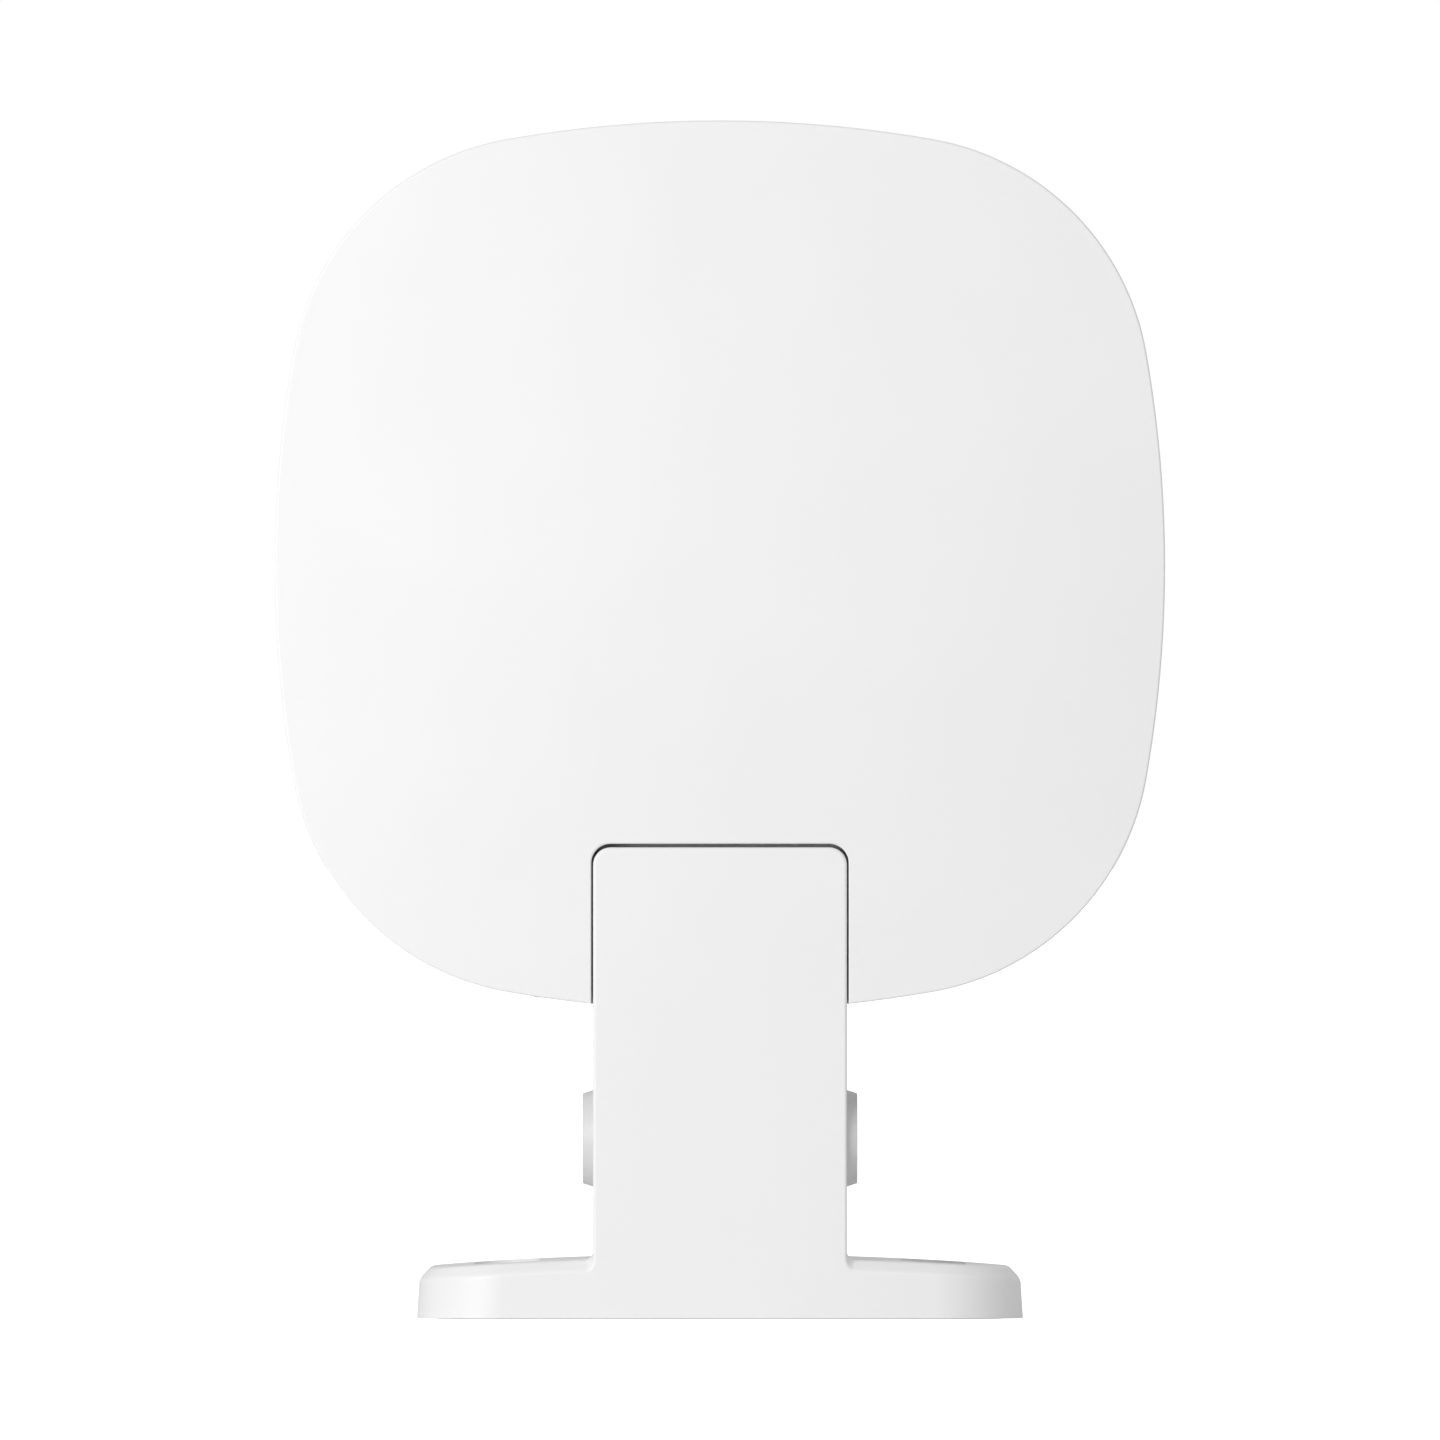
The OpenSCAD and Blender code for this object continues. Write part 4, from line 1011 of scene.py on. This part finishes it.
def make_material(slot):
    """Makes the material of one of the record's slots."""
    name = material_name(slot)
    finishes = bpy.context.scene.router_finishes
    shell, grain = tuple(finishes.shell), finishes.grain
    makers = {
        "white_shell": lambda: satin_plastic(name, shell, grain),
        "white_cover": lambda: satin_plastic(name, shell, grain),
        # The pivot caps take the shell's colour darkened to 0.78: painted shade, standing in for the shade
        # that the stem and its fillet throw on the caps
        "cap_plastic": lambda: satin_plastic(name, scaled(shell, 0.78), grain),
        "inner_plastic": lambda: satin_plastic(name, (0.55, 0.55, 0.55), 0.3, 0.55),
        "pad_rubber": lambda: soft_rubber(name, tuple(finishes.pad), 900),
        "ballast_steel": lambda: brushed_metal(name, (0.3, 0.31, 0.33), 0.45),
        "screw_steel": lambda: brushed_metal(name, (0.6, 0.6, 0.61), 0.28, (12, 12, 12)),
        "pivot_steel": lambda: brushed_metal(name, (0.62, 0.62, 0.63), 0.22, (40, 1, 1)),
        "friction_fibre": lambda: pressed_fibre(name, (0.035, 0.033, 0.03)),
        "neck_alloy": lambda: painted_casting(name, tuple(finishes.neck)),
        "gasket_silicone": lambda: soft_rubber(name, (0.34, 0.34, 0.35), 1600),
        "chassis_aluminium": lambda: brushed_metal(name, (0.75, 0.76, 0.78), 0.38, (1, 30, 30)),
        "board_green": lambda: circuit_board(name, tuple(finishes.board)),
        "can_tinplate": lambda: brushed_metal(name, (0.66, 0.66, 0.64), 0.32, (1, 8, 8)),
        "chip_black": lambda: satin_plastic(name, (0.012, 0.012, 0.013), 0.5, 0.6),
        "thermal_pad": lambda: soft_rubber(name, (0.26, 0.33, 0.47), 2200),
        "antenna_brass": lambda: brushed_metal(name, (0.76, 0.55, 0.24), 0.3, (8, 1, 8)),
        "contact_gold": lambda: brushed_metal(name, (0.95, 0.68, 0.25), 0.2, (20, 20, 1)),
        "spacer_nylon": lambda: satin_plastic(name, (0.7, 0.68, 0.6), 0.2, 0.5),
        "connector_black": lambda: satin_plastic(name, (0.016, 0.016, 0.018), 0.3, 0.5),
        "socket_steel": lambda: brushed_metal(name, (0.63, 0.63, 0.64), 0.25, (1, 1, 20)),
        "button_grey": lambda: satin_plastic(name, (0.5, 0.5, 0.51), grain, 0.42),
        "led_white": lambda: clear_resin(name, (0.9, 0.9, 0.82), 0.3),
        "pipe_clear": lambda: clear_resin(name, (0.94, 0.97, 0.98), 0.12),
    }
    return makers[slot]()


def material_for(slot):
    """The material of a slot, made once."""
    return bpy.data.materials.get(material_name(slot)) or make_material(slot)


class ROUTER_OT_finish_nodes(Operator):
    """Give every carried CAD node the material of its slot"""

    bl_idname = "router.finish_nodes"
    bl_label = "Finish Carried Nodes"

    def execute(self, context):
        for name, node in frame["nodes"].items():
            for material_slot in node.material_slots:
                material_slot.material = material_for(SLOT_OF_NODE[name])
        return {"FINISHED"}


# Stage


def add_area_light(name, place, target, size, power):
    light = bpy.data.lights.new(name, "AREA")
    light.shape = "RECTANGLE"
    light.size, light.size_y = size, size
    light.energy = power
    lamp = bpy.data.objects.new(name, light)
    lamp.location = place
    lamp.visible_camera = False
    lamp.rotation_euler = (Vector(target) - Vector(place)).to_track_quat("-Z", "Y").to_euler()
    bpy.context.scene.collection.objects.link(lamp)


def floor_material(colour, near_glow, far_glow):
    """Pale matt paper that shows as white, with only soft shadows, brighter away from the object."""
    material, tree, shader = start_material("pale_paper", colour, 0.9)
    tint(tree, shader, add_noise(tree, 3, 2), scaled(colour, 0.98), scaled(colour, 1.02))
    where = tree.nodes.new("ShaderNodeTexCoord")
    length = tree.nodes.new("ShaderNodeVectorMath")
    length.operation = "LENGTH"
    glow = tree.nodes.new("ShaderNodeMapRange")
    seen = tree.nodes.new("ShaderNodeLightPath")
    share = tree.nodes.new("ShaderNodeMath")
    share.operation = "MULTIPLY"
    tree.links.new(where.outputs["Object"], length.inputs[0])
    tree.links.new(length.outputs["Value"], glow.inputs["Value"])
    glow.inputs["From Min"].default_value = 0.3
    glow.inputs["From Max"].default_value = 1.2
    glow.inputs["To Min"].default_value = near_glow
    glow.inputs["To Max"].default_value = far_glow
    tree.links.new(glow.outputs["Result"], share.inputs[0])
    tree.links.new(seen.outputs["Is Camera Ray"], share.inputs[1])
    shader.inputs["Emission Color"].default_value = (1, 1, 1, 1)
    tree.links.new(share.outputs["Value"], shader.inputs["Emission Strength"])
    return material


def white_world(ambient):
    """A white backdrop for the eye, and a softer even light for the scene."""
    world = bpy.data.worlds.new("studio")
    world.use_nodes = True
    tree = world.node_tree
    sky = tree.nodes["Background"]
    sky.inputs["Color"].default_value = (1, 1, 1, 1)
    seen = tree.nodes.new("ShaderNodeLightPath")
    strength = tree.nodes.new("ShaderNodeMapRange")
    strength.inputs["To Min"].default_value = ambient
    strength.inputs["To Max"].default_value = 1.0
    tree.links.new(seen.outputs["Is Camera Ray"], strength.inputs["Value"])
    tree.links.new(strength.outputs["Result"], sky.inputs["Strength"])
    bpy.context.scene.world = world


class ROUTER_OT_stage(Operator):
    """Make the floor, the lights and the camera"""

    bl_idname = "router.stage"
    bl_label = "Stage"

    def execute(self, context):
        sizes = context.scene.router_stage
        bm = bmesh.new()
        bmesh.ops.create_grid(bm, x_segments=1, y_segments=1, size=sizes.floor_size / 2)
        mesh = bpy.data.meshes.new("floor")
        bm.to_mesh(mesh)
        bm.free()
        mesh.materials.append(floor_material(tuple(sizes.floor), 0.8, 0.92))
        floor = bpy.data.objects.new("floor", mesh)
        context.scene.collection.objects.link(floor)
        white_world(sizes.ambient)
        middle = (0, 0, PANEL_Z)
        towards = Vector(TOWARDS_KEY).normalized()
        place = Vector(middle) + towards * sizes.key_distance
        add_area_light("key_light", place, middle, sizes.key_size, sizes.key)
        camera = bpy.data.cameras.new("camera")
        camera.lens = sizes.lens
        camera.sensor_width = 36
        camera.clip_start = 0.1
        camera.clip_end = 100
        eye = bpy.data.objects.new("camera", camera)
        eye.location = (0, BACK_Y - sizes.eye_distance, sizes.eye_height)
        eye.rotation_euler = (math.pi / 2, 0, 0)
        context.scene.collection.objects.link(eye)
        context.scene.camera = eye
        context.scene.view_settings.view_transform = "Standard"
        context.scene.view_settings.look = "None"
        return {"FINISHED"}


# Panel in the sidebar

PIECE_OPERATORS = (
    ROUTER_OT_stand_body, ROUTER_OT_pivot_caps, ROUTER_OT_foot_pad, ROUTER_OT_neck,
    ROUTER_OT_rear_cover, ROUTER_OT_front_cover, ROUTER_OT_seam_gasket, ROUTER_OT_pairing_button,
    ROUTER_OT_finish_nodes,
)


class ROUTER_PT_pieces(Panel):
    """Lists the router's sizes and the operators that make its pieces"""

    bl_label = "Wireless Router"
    bl_idname = "ROUTER_PT_pieces"
    bl_space_type = "VIEW_3D"
    bl_region_type = "UI"
    bl_category = "Router"

    def draw(self, context):
        layout = self.layout
        layout.operator(ROUTER_OT_stage.bl_idname)
        for operator in PIECE_OPERATORS:
            layout.operator(operator.bl_idname)
        for name in GROUPS:
            sizes = getattr(context.scene, name)
            box = layout.box()
            for key in sizes.__annotations__:
                box.prop(sizes, key)


GROUPS = {
    "router_panel": PanelSizes,
    "router_stand": StandSizes,
    "router_finishes": Finishes,
    "router_stage": StageSizes,
}
CLASSES = (*GROUPS.values(), *PIECE_OPERATORS, ROUTER_OT_stage, ROUTER_PT_pieces)


def register():
    for cls in CLASSES:
        bpy.utils.register_class(cls)
    for name, group in GROUPS.items():
        setattr(bpy.types.Scene, name, PointerProperty(type=group))


def unregister():
    for name in GROUPS:
        delattr(bpy.types.Scene, name)
    for cls in reversed(CLASSES):
        bpy.utils.unregister_class(cls)


def main():
    register()
    bpy.ops.router.stage()
    bpy.ops.router.stand_body()
    bpy.ops.router.pivot_caps()
    bpy.ops.router.foot_pad()
    bpy.ops.router.neck()
    bpy.ops.router.rear_cover()
    bpy.ops.router.front_cover()
    bpy.ops.router.seam_gasket()
    bpy.ops.router.pairing_button()
    bpy.ops.router.finish_nodes()


if __name__ == "__main__":
    main()
